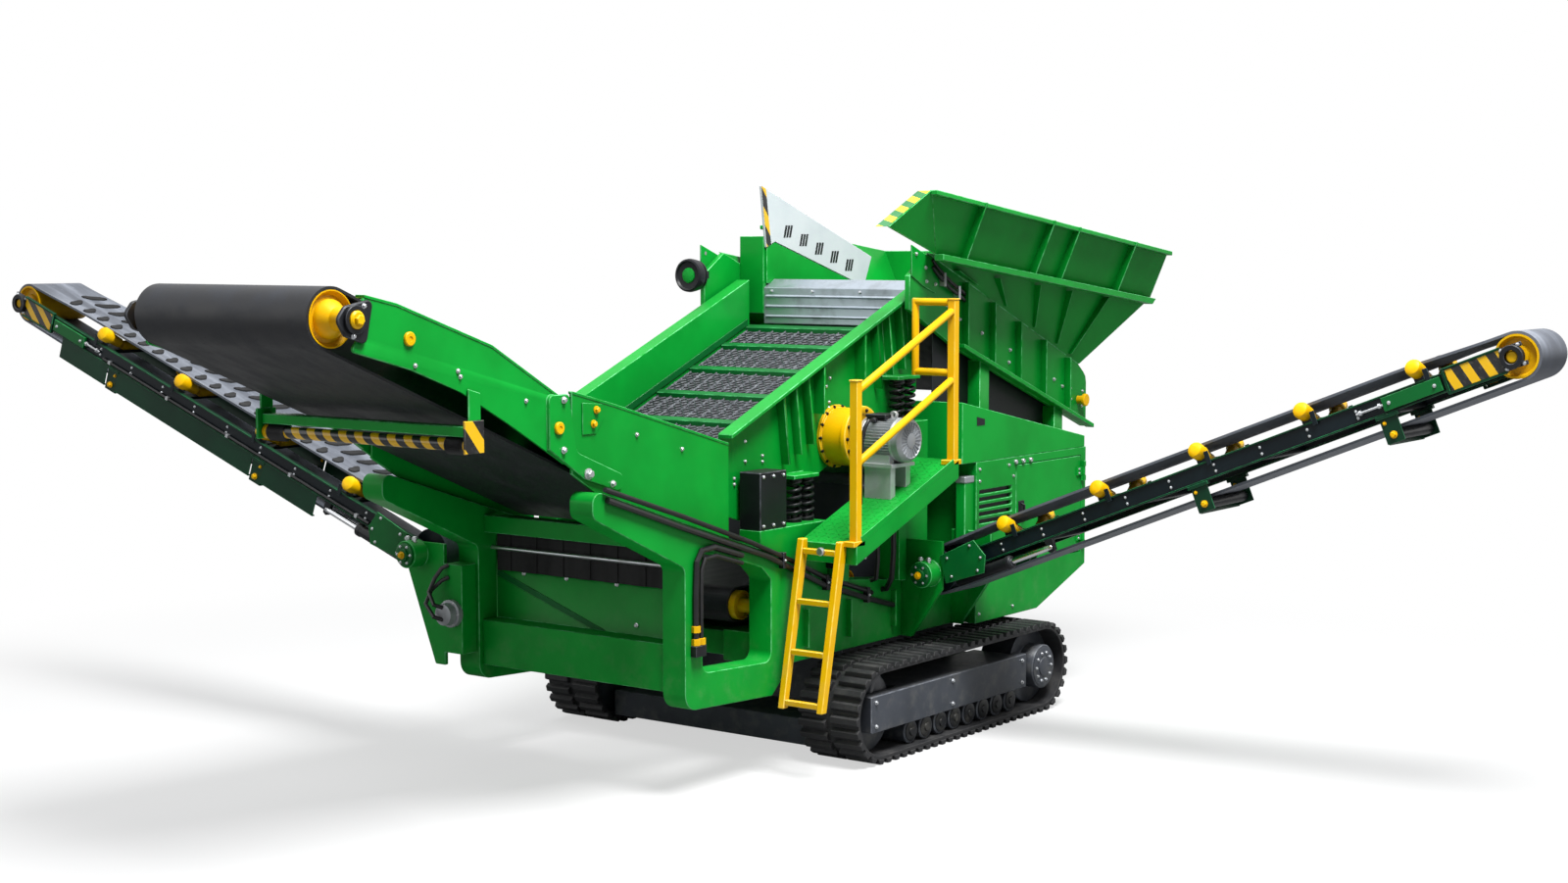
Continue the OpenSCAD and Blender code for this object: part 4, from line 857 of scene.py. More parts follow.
cone = [(-0.845, 0.036), (-0.837, 0.045), (-0.79, 0.045), (-0.785, 0.052), (-0.7, 0.06), (-0.655, 0.095),
        (-0.63, 0.1), (-0.625, 0.118), (-0.64, 0.132), (-0.652, 0.137), (-0.652, 0.1435)]
tail_drum = Shape().lathe(TAIL_HEAD, X, cone + [(-h, r) for h, r in cone[::-1]], 48)
for s in SIDES:
    tail_drum.lathe(TAIL_HEAD + Vector((s * 0.842, 0, 0)), (s, 0, 0),
                    [(0, 0.028), (0.018, 0.028), (0.022, 0.022)], 6)
piece("tail_drum_shell", tail_drum, yellow, "tail_drum", ["tail_head_drum"])
for s in SIDES:
    name = SIDE_NAME[s]
    shell = Shape(side_line[s]).lathe((SIDE_LENGTH[s], 0, 0), Y, drum(0.217, 0.124, 0.035, 0.296, 0.03), 48)
    piece(name + "_drum_shell", shell, yellow, name + "_drum", [name + "_head_drum"])
    housing, nuts = Shape(side_line[s]), Shape(side_line[s])
    for w in SIDES:
        housing.ring((SIDE_LENGTH[s], w * 0.268, 0), (0, w, 0), 0.0375, 0.066, 0.045)
        for v in (-0.066, 0.042):
            housing.side_slab(w, (SIDE_LENGTH[s] - 0.07, 0.27, v), (SIDE_LENGTH[s] + 0.07, 0.284, v + 0.024),
                              axis=1)
        for u, v in ((-0.05, 0.054), (0.05, 0.054), (-0.05, -0.054), (0.05, -0.054)):
            nuts.bolt((SIDE_LENGTH[s] + u, w * 0.284, v), (0, w, 0), 0.011)
    on_conveyor(s, "_drum_bearings", housing, black, bevel=0.003)
    on_conveyor(s, "_bearing_bolts", nuts, zinc)
fines = Shape()
for y in (-1.38, -0.27):
    fines.lathe((0, y, 1.0), X, drum(0.6, 0.09, 0.045, 0.73, 0.03), 40)
piece("fines_drum_shells", fines, yellow, nodes=["fines_drums"])
print("head drums:", [name for name in frame["nodes"] if name.endswith("head_drum")])

# %% [markdown]
# ## Lift cylinders
# A hydraulic cylinder under each side conveyor raises it. Barrel, gland and rod are turned, and the rod is
# chromed. Both ends hang in ears on the frame.

# %% Barrels, rods and ears
for s in SIDES:
    barrel, rod_part = Shape(side_line[s]), Shape(side_line[s])
    w, v = -0.265, -0.055 - 0.015 - 0.038
    barrel.lathe((0.15, w, v), X, [(0, 0.026), (0.01, 0.038), (0.4, 0.038), (0.401, 0.043), (0.43, 0.043),
                                   (0.44, 0.034)], 28)
    rod_part.rod((0.58, w, v), (0.89, w, v), 0.02, 20)
    for u in (0.17, 0.89):
        barrel.plate([(u - 0.03, -0.056), (u + 0.03, -0.056), (u + 0.026, v - 0.026), (u, v - 0.038),
                      (u - 0.026, v - 0.026)], 1, w - 0.014, w + 0.014)
        rod_part.rod((u, w - 0.022, v), (u, w + 0.022, v), 0.014, 14)
    on_conveyor(s, "_lift_barrel", barrel, black, nodes=["_lift_cylinder"], bevel=0.002)
    on_conveyor(s, "_lift_rod", rod_part, chrome)
print("lift cylinders:", len(SIDES))

# %% [markdown]
# ## Exciter and motor
# The screen is shaken by an exciter: a drum with an off-centre weight inside. An electric motor with cooling
# fins turns it through a short shaft. The drum moves with the screen box, and the motor stands on the
# walkway.

# %% Exciter drum
EXCITER = Vector((0, -0.56, 1.99))
RIM_BOLTS = 14
shell, heads, hub = Shape(), Shape(), Shape()
shell.lathe(EXCITER + Vector((0.71, 0, 0)), X,
            [(0, 0.2), (0.022, 0.2), (0.026, 0.184), (0.176, 0.184), (0.18, 0.2), (0.21, 0.2), (0.214, 0.196),
             (0.214, 0.15), (0.206, 0.146), (0.206, 0.09)], 56)
hub.lathe(EXCITER + Vector((0.9, 0, 0)), X,
          [(0, 0.098), (0.022, 0.098), (0.026, 0.09), (0.026, 0.07), (0.034, 0.066), (0.036, 0.03)], 40)
heads.bolt_ring(EXCITER + Vector((0.924, 0, 0)), X, 0.173, RIM_BOLTS, 0.012)
heads.bolt_ring(EXCITER + Vector((0.735, 0, 0)), X, 0.192, RIM_BOLTS, 0.01)
hub.bolt_ring(EXCITER + Vector((0.926, 0, 0)), X, 0.082, 6, 0.008)
piece("exciter_shell", shell, yellow, "screen_box", ["exciter_drum"], 0.0015)
piece("exciter_bolts", heads, black, "screen_box")
piece("exciter_hub", hub, casting, "screen_box")
print("exciter bolts:", 2 * RIM_BOLTS)

# %% Finned motor
FINS, COWL_BARS = 44, 22
WALK_Y, WALK_Z, WALK_RUN, WALK_RISE = -1.24, 1.41, 1.14, 0.43


def walk_z(y):
    """The height of the walkway at one place along the machine."""
    return WALK_Z + (y - WALK_Y) * WALK_RISE / WALK_RUN


def fins(shape, count, first, last, section):
    """Fins round the motor's axis. Their section is given as (radius, sideways)."""
    for c, k in circle(count):
        out, side = Vector((0, c, k)), Vector((0, -k, c))
        shape.skin([[EXCITER + Vector((x, 0, 0)) + out * r + side * t for r, t in section]
                    for x in (first, last)])


motor, cowl, box, conduit = (Shape() for _ in range(4))
motor.lathe(EXCITER + Vector((0.952, 0, 0)), X,
            [(0, 0.06), (0.006, 0.118), (0.02, 0.136), (0.05, 0.137), (0.052, 0.115), (0.25, 0.115),
             (0.252, 0.137), (0.268, 0.137), (0.27, 0.115)], 40)
fins(motor, FINS, 1.0, 1.206, ((0.11, -0.0032), (0.137, -0.0018), (0.137, 0.0018), (0.11, 0.0032)))
motor.slab((0.992, -0.69, 1.822), (1.23, -0.43, 1.846))
for y in (-0.67, -0.5):
    motor.slab((1.0, y, 1.84), (1.2, y + 0.05, 1.9))
    motor.plate([(y, walk_z(y)), (y, 1.826), (y + 0.05, 1.826), (y + 0.05, walk_z(y + 0.05))], 0, 1.012, 1.21)
motor.ring(EXCITER + Vector((1.16, -0.012, 0.155)), Y, 0.014, 0.024, 0.024, 20)
cowl.lathe(EXCITER + Vector((1.222, 0, 0)), X,
           [(0, 0.138), (0.046, 0.138), (0.062, 0.126), (0.068, 0.112), (0.06, 0.108), (0.06, 0.03)], 44)
fins(cowl, COWL_BARS, 1.28, 1.288, ((0.028, -0.002), (0.112, -0.003), (0.112, 0.003), (0.028, 0.002)))
cowl.lathe(EXCITER + Vector((1.276, 0, 0)), X, [(0, 0.045), (0.012, 0.045), (0.014, 0.038)], 24)
box.slab((1.0, -0.63, 2.095), (1.14, -0.49, 2.135))
box.slab((0.994, -0.636, 2.13), (1.146, -0.484, 2.148))
box.rod((1.07, -0.49, 2.11), (1.07, -0.455, 2.11), 0.018)
box.rod((1.07, -0.63, 2.11), (1.07, -0.665, 2.11), 0.018)
conduit.tube([(1.07, -0.46, 2.11), (1.07, -0.4, 2.112), (1.068, -0.35, 2.09), (1.06, -0.325, 2.03),
              (1.05, -0.32, 1.95), (1.05, -0.32, 1.75)], 0.013)
conduit.tube([(1.07, -0.66, 2.11), (1.07, -0.71, 2.112), (1.066, -0.745, 2.07), (1.05, -0.755, 1.98),
              (1.04, -0.75, 1.8), (1.04, -0.75, 1.59)], 0.013)
piece("motor_conduit", conduit, hose_rubber)
piece("motor_frame", motor, silver, nodes=["exciter_motor"], bevel=0.0012)
piece("motor_cowl", cowl, casting)
piece("motor_terminal_box", box, black, bevel=0.004)
print("motor fins:", FINS)

# %% [markdown]
# ## Springs
# The screen box floats on coil springs. A coil is a pipe whose path winds upwards, with its ends ground flat.
# The foot stays with the chassis and the top follows the screen, so each spring is blended between the two.

# %% Coil springs
STEPS, COIL_R, WIRE_R, COIL_HEIGHT, COIL_TURNS = 24, 0.041, 0.0105, 0.27, 7


def coil(foot, radius, wire, height, turns):
    """A path that winds up from a foot, with three quarters of a turn lying flat at each end."""
    path = []
    for i in range(turns * STEPS + 1):
        climb = min(max((i / STEPS - 0.75) / (turns - 1.5), 0), 1)
        a = math.tau * i / STEPS
        rise = wire + climb * (height - 2 * wire)
        path.append(Vector(foot) + Vector((radius * math.cos(a), radius * math.sin(a), rise)))
    return path


SEAT = [(0, 0.05), (0.008, 0.05), (0.01, 0.026), (0.05, 0.024)]
for name, y, foot in (("front_springs", -1.04, 1.4996), ("rear_springs", 0.1, 2.0525)):
    coils = Shape()
    for s in SIDES:
        for half in (-0.065, 0.065):
            at = Vector((s * 0.785, y + half, foot))
            coils.tube(coil(at, COIL_R, WIRE_R, COIL_HEIGHT, COIL_TURNS), WIRE_R, 10)
            coils.lathe(at, Z, SEAT, 24)
            coils.lathe(at + Vector((0, 0, COIL_HEIGHT)), (0, 0, -1), SEAT, 24)
    made = piece(name + "_coils", coils, black, None, [name])
    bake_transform(made, "chassis", "screen_box", start=MIDDLE + Vector((0, y, foot + 0.02)),
             end=MIDDLE + Vector((0, y, foot + 0.25)))
print("spring height:", COIL_HEIGHT, "m")

# %% [markdown]
# ## Screen deck
# The deck is a row of rubber framed panels of woven wire between the cross bars. Woven wire could be a
# texture, but it catches light at every bend, so the wires are real: zigzag wires held by straight strips,
# with a near black backing underneath that is painted shade for the space below the deck.

# %% Woven wire
RISE = math.tan(math.radians(22.4))


def flange_z(y):
    return 2.18 + RISE * (y + 1.5)


def wire_z(y):
    return flange_z(y) - 0.336


wires = Shape()
BARS = (-1.63, -1.35, -1.0, -0.65, -0.3, 0.05, 0.33)
for first, second in zip(BARS, BARS[1:]):
    y0, y1 = first + 0.046, second - 0.002
    rows = int((y1 - y0 - 0.024) / 0.03)
    for i in range(rows):
        y = y0 + 0.012 + (i + 0.5) * (y1 - y0 - 0.024) / rows
        rings = []
        for j in range(47):
            x, turn = -0.684 + 1.368 * j / 46, y + (0.009 if (j + i) % 2 else -0.009)
            z = wire_z(turn)
            rings.append([(x, turn - 0.004, z), (x, turn + 0.004, z), (x, turn, z + 0.007)])
        wires.skin(rings)
    for i in range(13):
        x = -0.672 + 1.344 * i / 12
        wires.skin([[(x - 0.006, y, wire_z(y) - 0.001), (x + 0.006, y, wire_z(y) - 0.001),
                     (x, y, wire_z(y) + 0.009)] for y in (y0, y1)])
piece("deck_wires", wires, deck_rubber, "screen_box")
# The CAD mesh panel is painted near black under the wires: painted shade.
dress("screen_mesh", deck_shade_backing, 0.002)
print("deck panels:", len(BARS) - 1)

# %% [markdown]
# ## Handrail
# The walkway's rail is welded from square posts with caps and round tube, and closes with a small gate frame
# at the top. The tubes are bars between their real ends, so the welds land on the posts.

# %% Posts, rails and gate
RAIL = 0.99
rail = Shape()
POSTS = ((-1.21, 0.0), (-0.13, 0.055))
for y, rise in POSTS:
    top = walk_z(y - 0.03) + RAIL + rise
    rail.slab((1.293, y - 0.027, walk_z(y) - 0.01), (1.347, y + 0.027, top - 0.008))
    rail.slab((1.289, y - 0.031, top - 0.01), (1.351, y + 0.031, top))
    rail.slab((1.27, y - 0.06, walk_z(y) - 0.02), (1.35, y + 0.06, walk_z(y) + 0.012))
for h in (0.905, 0.47):
    ends = [(1.32, y, walk_z(y) + rise + h) for y, rise in ((-1.19, 0.0), (-0.15, 0.055))]
    rail.rod(*ends, 0.024, 20)
GATE_Z = (walk_z(-0.16) + 0.575, walk_z(-0.16) + 1.02)
for z in GATE_Z:
    rail.rod((1.035, -0.13, z), (1.31, -0.13, z), 0.024, 20)
rail.rod((1.035, -0.13, GATE_Z[0] - 0.024), (1.035, -0.13, GATE_Z[1] + 0.024), 0.024, 20)
piece("handrail_tubes", rail, yellow, nodes=["handrail"], bevel=0.003)
ladder = Shape()
for x in (0.945, 1.23):
    ladder.plate([(-1.24, 1.43), (-1.29, 1.43), (-1.49, 0.42), (-1.44, 0.42), (-1.24, 1.35)], 0, x, x + 0.045)
for i in range(4):
    z = 0.44 + 0.3 * i
    y = -1.49 + (z - 0.42) * 0.2 / 0.99 + 0.008
    ladder.slab((0.989, y, z), (1.231, y + 0.032, z + 0.035))
piece("ladder_stiles_and_rungs", ladder, yellow, nodes=["ladder"], bevel=0.005)
print("rail height:", RAIL, "m")

# %% [markdown]
# ## Spreader bar
# Under the tail conveyor a striped tube holds the two sides apart, with rubber boots at both ends, below a
# green cross beam. The boots are ribbed like a bellows, which a turned profile gives directly.

# %% Tube, boots and beam
SPREADER_Y, SPREADER_Z = -3.9, 2.17
bar, boots, beam, ears, collars = (Shape() for _ in range(5))
bar.rod((-0.64, SPREADER_Y, SPREADER_Z), (0.64, SPREADER_Y, SPREADER_Z), 0.034, 24)
for s in SIDES:
    profile = [(0, 0.036)]
    for i in range(7):
        profile += [(0.004 + 0.018 * i, 0.04), (0.012 + 0.018 * i, 0.052), (0.018 + 0.018 * i, 0.04)]
    boots.lathe((s * 0.62, SPREADER_Y, SPREADER_Z), (s, 0, 0), profile + [(0.14, 0.036)], 24)
    collars.lathe((s * 0.752, SPREADER_Y, SPREADER_Z), (s, 0, 0),
                  [(0, 0.03), (0.004, 0.042), (0.034, 0.042), (0.04, 0.03)], 24)
    (ears if s > 0 else beam).side_plate(s, [(-3.97, 2.13), (-3.97, 2.3), (-3.83, 2.3), (-3.83, 2.13)],
                                         0.79, 0.806)
    beam.side_plate(s, [(-3.94, 2.298), (-3.94, 2.466), (-3.85, 2.44), (-3.85, 2.298)], 0.791, 0.805)
beam.slab((-0.788, -3.94, 2.215), (0.788, -3.86, 2.27))
piece("spreader_tube", bar, stripes_across, nodes=["tail_spreader"])
piece("spreader_collars", collars, yellow)
piece("spreader_boots", boots, hose_rubber)
piece("spreader_beam", beam, green, bevel=0.005)
piece("spreader_ears", ears, stripes_along, bevel=0.003)
print("spreader tube at height", SPREADER_Z, "m")

# %% [markdown]
# ## Work lamp
# A round lamp housing on the far side looks down on the screen. It is a turned bell with cooling rings and a
# painted hub.

# %% Lamp
LAMP_Z = 2.99
bell, hub = Shape(), Shape()
bell.lathe((-0.79, -0.06, LAMP_Z), FRONT, [(0, 0.05), (0.01, 0.085), (0.03, 0.09), (0.034, 0.104),
                                           (0.045, 0.104), (0.05, 0.092), (0.06, 0.092), (0.064, 0.11),
                                           (0.1, 0.115), (0.124, 0.112), (0.13, 0.1), (0.118, 0.09),
                                           (0.114, 0.05)], 40)
bell.slab((-0.86, -0.075, 2.965), (-0.79, 0.05, 3.015))
hub.lathe((-0.79, -0.17, LAMP_Z), FRONT, [(0, 0.055), (0.012, 0.05), (0.016, 0.03)], 28)
hub.bolt_ring((-0.79, -0.18, LAMP_Z), FRONT, 0.04, 6, 0.006)
piece("lamp_bell", bell, black, nodes=["work_lamp"])
piece("lamp_hub", hub, green)
print("lamp at height", LAMP_Z, "m")

# %% [markdown]
# ## Fittings on the side conveyors
# A conveyor frame is bolted together from short lengths, so pairs of zinc plated bolts run along its web.
# Near the head a screw tensioner pulls the drum out to keep the belt tight, and near the hinge a cover guards
# the drive. The belt has slanting ridges that stop stone from sliding back. All of it is drawn on the flat
# conveyor and tilted with the same matrix as the frame, so none of it has to be turned by hand.

# %% Tensioners, covers and bolts
def boom_fittings(s):
    far = SIDE_LENGTH[s]
    nuts, covers = Shape(side_line[s]), Shape(side_line[s])
    for w in SIDES:
        out = (0, w, 0)
        for i in range(9):
            u = 0.55 + (far - 1.5) * i / 8
            for v in (-0.02, 0.02):
                nuts.bolt((u, w * 0.268, v), out, 0.009)
        covers.side_slab(w, (far - 0.78, 0.267, -0.04), (far - 0.42, 0.293, 0.04), axis=1)
        nuts.rod((far - 0.95, w * 0.281, 0), (far - 0.77, w * 0.281, 0), 0.008)
        for u in (far - 0.93, far - 0.81):
            nuts.lathe((u, w * 0.281, 0), X, [(0, 0.016), (0.016, 0.016)], 6)
        for u in (far - 0.74, far - 0.46):
            nuts.bolt((u, w * 0.293, 0), out, 0.011)
        covers.side_plate(w, [(0.1, -0.1), (0.12, 0.08), (0.4, 0.1), (0.45, -0.02), (0.4, -0.12)],
                          0.324, 0.332, axis=1)
        covers.side_slab(w, (0.3, 0.266, -0.04), (0.39, 0.325, 0.04), axis=1)
        for u, v in ((0.17, 0.05), (0.36, 0.075), (0.41, -0.02), (0.36, -0.09), (0.16, -0.07)):
            nuts.bolt((u, w * 0.332, v), out, 0.01)
        if s < 0 and w < 0:
            line = Shape(side_line[s])
            line.tube([(0.5, w * 0.279, -0.03), (far - 1.0, w * 0.279, -0.03)], 0.009)
            on_conveyor(s, "_boom_pipe", line, hose_rubber)
            for i in range(5):
                u = 0.62 + (far - 1.7) * i / 4
                nuts.slab((u - 0.012, w * 0.289, -0.042), (u + 0.012, w * 0.267, -0.018))
    on_conveyor(s, "_boom_bolts", nuts, zinc)
    on_conveyor(s, "_boom_covers", covers, mid_green, bevel=0.002)


def cleats(s):
    far, ridges = SIDE_LENGTH[s], Shape(side_line[s])
    for i in range(int((far - 0.34) / 0.16)):
        for w in SIDES:
            first, rings = 0.3 + 0.16 * (i + (0.5 if w > 0 else 0.0)), []
            for j in range(6):
                across, u = w * (0.03 + 0.15 * j / 5), first - 0.075 * j / 5
                top = belt_top(s, u) + trough(u, across, far, SIDE_HALF, SIDE_SAG)
                thin = 0.4 if j in (0, 5) else 1.0
                rings.append([(u - 0.034 * thin, across, top - 0.002),
                              (u - 0.026 * thin, across, top + 0.009),
                              (u + 0.026 * thin, across, top + 0.009),
                              (u + 0.034 * thin, across, top - 0.002)])
            ridges.skin(rings)
    on_conveyor(s, "_belt_cleats", ridges, cleat_rubber)
    return len(ridges.faces) // 22


for s in SIDES:
    boom_fittings(s)
print("belt ridges:", {SIDE_NAME[s]: cleats(s) for s in SIDES})

# %% Hinge caps and the left pump
caps, ports, body, pins = (Shape() for _ in range(4))
for s in SIDES:
    at = SIDE_HINGE[s] + Vector((0, -0.428, 0))
    caps.lathe(at, FRONT, [(-0.004, 0.072), (0.012, 0.072), (0.016, 0.064), (0.016, 0.042), (0.03, 0.038),
                           (0.032, 0.02)])
    ports.bolt_ring(at + Vector((0, -0.015, 0)), FRONT, 0.056, 6, 0.009)
    pins.bolt(at + Vector((0, -0.031, 0)), FRONT, 0.024)
    for x in (-0.03, 0.03):
        ports.rod(at + Vector((x, 0.05, 0.07)), at + Vector((x, 0.05, 0.11)), 0.013)
        ports.lathe(at + Vector((x, 0.05, 0.088)), Z, [(0, 0.019), (0.014, 0.019)], 6)
pump, loops = Vector((-0.83, -2.438, 0.95)), Shape()
body.lathe(pump, FRONT, [(-0.004, 0.085), (0.03, 0.085), (0.034, 0.07), (0.085, 0.066), (0.09, 0.04)])
ports.bolt_ring(pump + Vector((0, -0.03, 0)), FRONT, 0.074, 6, 0.009)
for lift, bulge in ((0.045, 0.09), (-0.03, 0.12)):
    path = ((0.0, -0.085, 0), (-0.03, -0.13, 0.02), (-bulge, -0.11, 0.09), (-bulge, -0.06, 0.17),
            (-0.06, -0.03, 0.23), (-0.03, 0.0, 0.25))
    loops.tube([pump + Vector((x, y, lift + z)) for x, y, z in path], 0.013)
piece("pump_pipes", loops, hose_rubber)
piece("pump_body", body, casting)
piece("hinge_pin_heads", pins, yellow)
piece("hinge_caps", caps, mid_green)
piece("hinge_cap_bolts", ports, zinc)
print("hinge heights:", [round(at.z, 2) for at in SIDE_HINGE.values()])

# %% [markdown]
# ## Edges and joints of the tail conveyor
# The tail conveyor folds for the road, so its sides are in two lengths with a bolted link plate over the
# joint. Each side is plate with its top edge turned in, which makes it stiff. A turned edge could be cut from
# the solid, but a thin strip drawn along the edge says the same and catches the light.

# %% Turned edges, bolts and bosses
def edge_strip(shape, s, line, inner, outer, thick=0.012):
    """A thin strip that follows an edge, turned in over the belt."""
    shape.skin([[(s * inner, y, z - thick), (s * outer, y, z - thick), (s * outer, y, z + 0.003),
                 (s * inner, y, z + 0.003)] for y, z in line])


def boss(shape, at, axis, radius):
    """A round turned boss with a dimple."""
    shape.lathe(at, axis, [(-0.004, radius), (0.012, radius), (0.016, radius * 0.86), (0.016, radius * 0.4),
                           (0.012, radius * 0.36)], 24)


strips, nuts, bosses, pads, rings = (Shape() for _ in range(5))
for s in SIDES:
    out = (s, 0, 0)
    edge_strip(strips, s, ((-4.632, 2.955), (-4.42, 2.91), (-3.75, 2.68), (-3.205, 2.372)), 0.725, 0.794)
    edge_strip(strips, s, ((-3.135, 2.408), (-2.79, 2.32), (-1.765, 2.032)), 0.76, 0.794)
    pads.side_plate(s, [(-3.06, 2.17), (-3.06, 2.345), (-2.9, 2.33), (-2.88, 2.26), (-2.95, 2.17)],
                    0.788, 0.798)
    nuts.side_bolts(s, 0.81, ((-3.227, 2.37), (-3.231, 2.1), (-2.832, 1.885)), 0.02)
    nuts.bolt((s * 0.81, -3.034, 1.955), out, 0.032)
    nuts.side_bolts(s, 0.79, ((-4.002, 2.56), (-3.985, 2.53), (-4.3, 2.6), (-3.5, 2.38), (-2.6, 2.14),
                              (-2.2, 2.03)), 0.013)
    nuts.side_bolts(s, 0.815, ((-4.66, 2.905), (-4.73, 2.76)), 0.014)
    boss(bosses, (s * 0.81, -3.268, 2.221), out, 0.034)
    boss(bosses, (s * 0.79, -4.34, 2.734), out, 0.036)
    bosses.side_bolts(s, 0.798, ((-2.95, 2.3), (-2.974, 2.225)), 0.022)
    rings.ring(TAIL_HEAD + Vector((s * 0.812, 0, 0)), out, 0.0475, 0.07, 0.02)
piece("tail_turned_edges", strips, green, bevel=0.002)
piece("tail_corner_pads", pads, green, bevel=0.002)
piece("tail_bolts", nuts, zinc)
piece("tail_bosses", bosses, yellow)
piece("tail_bearing_rings", rings, black, bevel=0.002)
print("bosses on the tail conveyor:", 2 * len(SIDES))

# %% [markdown]
# ## Screen box details
# The deck bars are bolted through the side walls, a painted strip closes the gap between the deck and each
# wall, and the feed plate has three folded ridges that slow the stone. The white plate over the hopper has a
# striped front edge and rows of slots that let water out; the slots are thin black sheets on the plate,
# painted shade for the openings. Bolts that show in rows are set from the same list as the bars they hold.

# %% Bar bolts, seals and ridges
def deck_z(y):
    return flange_z(y) - 0.31


nuts, seals, ridges = Shape(), Shape(), Shape()
for s in SIDES:
    for y in BARS:
        for drop in (0.02, 0.055):
            nuts.bolt((s * 0.71, y + 0.022, deck_z(y + 0.022) - drop), (s, 0, 0), 0.011)
    strip = ((0.691, 0.004), (0.681, 0.004), (0.681, 0.05), (0.691, 0.05))
    seals.skin([[(s * x, y, deck_z(y) + v) for x, v in strip] for y in (-1.72, 0.35)])
piece("deck_bar_bolts", nuts, zinc, "screen_box")
piece("deck_seals", seals, mid_green, "screen_box", bevel=0.001)
RIDGES = (2.84, 2.77, 2.7)
nuts = Shape()
for z in RIDGES:
    ridges.plate([(0.456, z - 0.012), (0.444, z), (0.456, z + 0.012)], 0, -0.6, 0.6)
for x in (-0.55, -0.2, 0.2, 0.55):
    nuts.bolt((x, 0.455, 2.875), FRONT, 0.012)
piece("feed_lip_ridges", ridges, steel, bevel=0.001)
piece("feed_lip_bolts", nuts, zinc)
print("ridges on the feed lip:", len(RIDGES))

# %% Stiffeners on the screen walls
stiff, nuts = Shape(), Shape()
for s in SIDES:
    for y, drop in ((-0.79, 0.27), (-0.34, 0.3)):
        top = flange_z(y) - 0.03
        stiff.side_plate(s, [(y, top), (y + 0.016, top + 0.006), (y + 0.016, top - drop),
                             (y, top - drop - 0.03)], 0.709, 0.792)
    nuts.side_bolts(s, 0.71, ((-0.7, 2.33), (-0.66, 2.31), (-0.62, 2.36), (-0.24, 2.52), (-1.5, 2.02),
                              (-1.5, 1.9)), 0.011)
piece("screen_wall_stiffeners", stiff, green, "screen_box", bevel=0.003)
piece("screen_wall_bolts", nuts, zinc, "screen_box")
print("stiffeners:", len(stiff.faces) // 6)

# %% Striped edge and slots of the white plate
# The black slots on the white plate are painted shade for the openings.
edge, slots, skirt = Shape(), Shape(), Shape()
skirt.plate([(0.47, 2.93), (0.47, 3.179), (0.56, 3.218), (1.668, 2.888), (1.63, 2.83), (0.72, 2.93)],
            0, -0.622, -0.604)
piece("white_plate_skirt", skirt, green, bevel=0.003)
edge.plate([(0.462, 3.185), (0.402, 3.606), (0.45, 3.588), (0.51, 3.205)], 0, -0.602, -0.597)
for i in range(5):
    y = 0.66 + 0.19 * i
    z = 3.27 - 0.32 * (y - 0.6)
    for j in range(3):
        a = y + 0.032 * j
        slots.plate([(a, z), (a + 0.022, z), (a + 0.046, z + 0.085), (a + 0.024, z + 0.085)],
                    0, -0.602, -0.5985)
piece("plate_edge", edge, stripes_along)
piece("plate_slot_shade", slots, black)
print("slots:", len(slots.faces) // 6)

# %% [markdown]
# ## Hopper and feeder details
# A hopper wall takes the blow of falling stone, so ribs stand under it from the ledge to the feeder. The wall
# is folded along a diagonal. Each rib therefore asks the wall where it is at a few points down its length,
# instead of running straight and missing it. Rigid pipes, bolt rows and a black belly panel finish the feeder
# below.

# %% Ribs and the wing edge
def wall_x(y, z):
    """How far out the lower hopper wall stands at a height and a place along the machine."""
    for corners in ("abc", "acd"):
        p, q, r = (HOPPER[c] for c in corners)
        across = (q - p).cross(r - p)
        x = p.x - (across.y * (y - p.y) + across.z * (z - p.z)) / across.x
        found = Vector((x, y, z))
        inside = [(n - m).cross(found - m).dot(across) >= -1e-6 for m, n in ((p, q), (q, r), (r, p))]
        if all(inside):
            return x
    return 0.98


ribs, wing = Shape(), Shape()
for s in SIDES:
    for (top_y, low_y) in ((0.578, 0.854), (1.03, 1.24), (1.504, 1.628), (1.888, 1.95), (2.35, 2.15)):
        if s < 0 and top_y < 1.5:
            continue
        top = (top_y, 3.14 - (top_y + 0.02) * 0.34 / 2.945 - 0.045)
        low = (low_y, 3.23 - 0.4 * (low_y - 0.05) + 0.02)
        rows = []
        for i in range(7):
            y, z = top[0] + (low[0] - top[0]) * i / 6, top[1] + (low[1] - top[1]) * i / 6
            x = wall_x(y, z) + 0.008
            deep = 0.058 - 0.03 * i / 6
            near, far = s * x, s * (x + deep)
            rows.append([(near, y - 0.006, z), (far, y - 0.006, z), (far, y + 0.006, z),
                         (near, y + 0.006, z)])
        ribs.skin(rows)
tip, foot = Vector((1.252, -0.302, 3.536)), Vector((1.104, -0.558, 3.312))
wing.skin([[p + Vector((x, y, 0)) for x, y in ((0.0, -0.005), (-0.09, -0.005), (-0.09, 0.003), (0.0, 0.003))]
           for p in (foot, tip)])
piece("hopper_ribs", ribs, green, bevel=0.002)
piece("wing_edge", wing, stripes_wing, bevel=0.001)
print("ribs under the hopper:", len(ribs.faces) // 26)

# %% Skirts beside the feeder belt
skirts, nuts = Shape(), Shape()
FEED_SLOPE = math.atan2(0.9, 2.25)
fall, flat = math.sin(FEED_SLOPE), math.cos(FEED_SLOPE)


def on_feeder(u, w, v):
    """A place along, across and above the feeder belt's middle line."""
    return Vector((w, 0.76 + u * flat + v * fall, 2.8 - u * fall + v * flat))


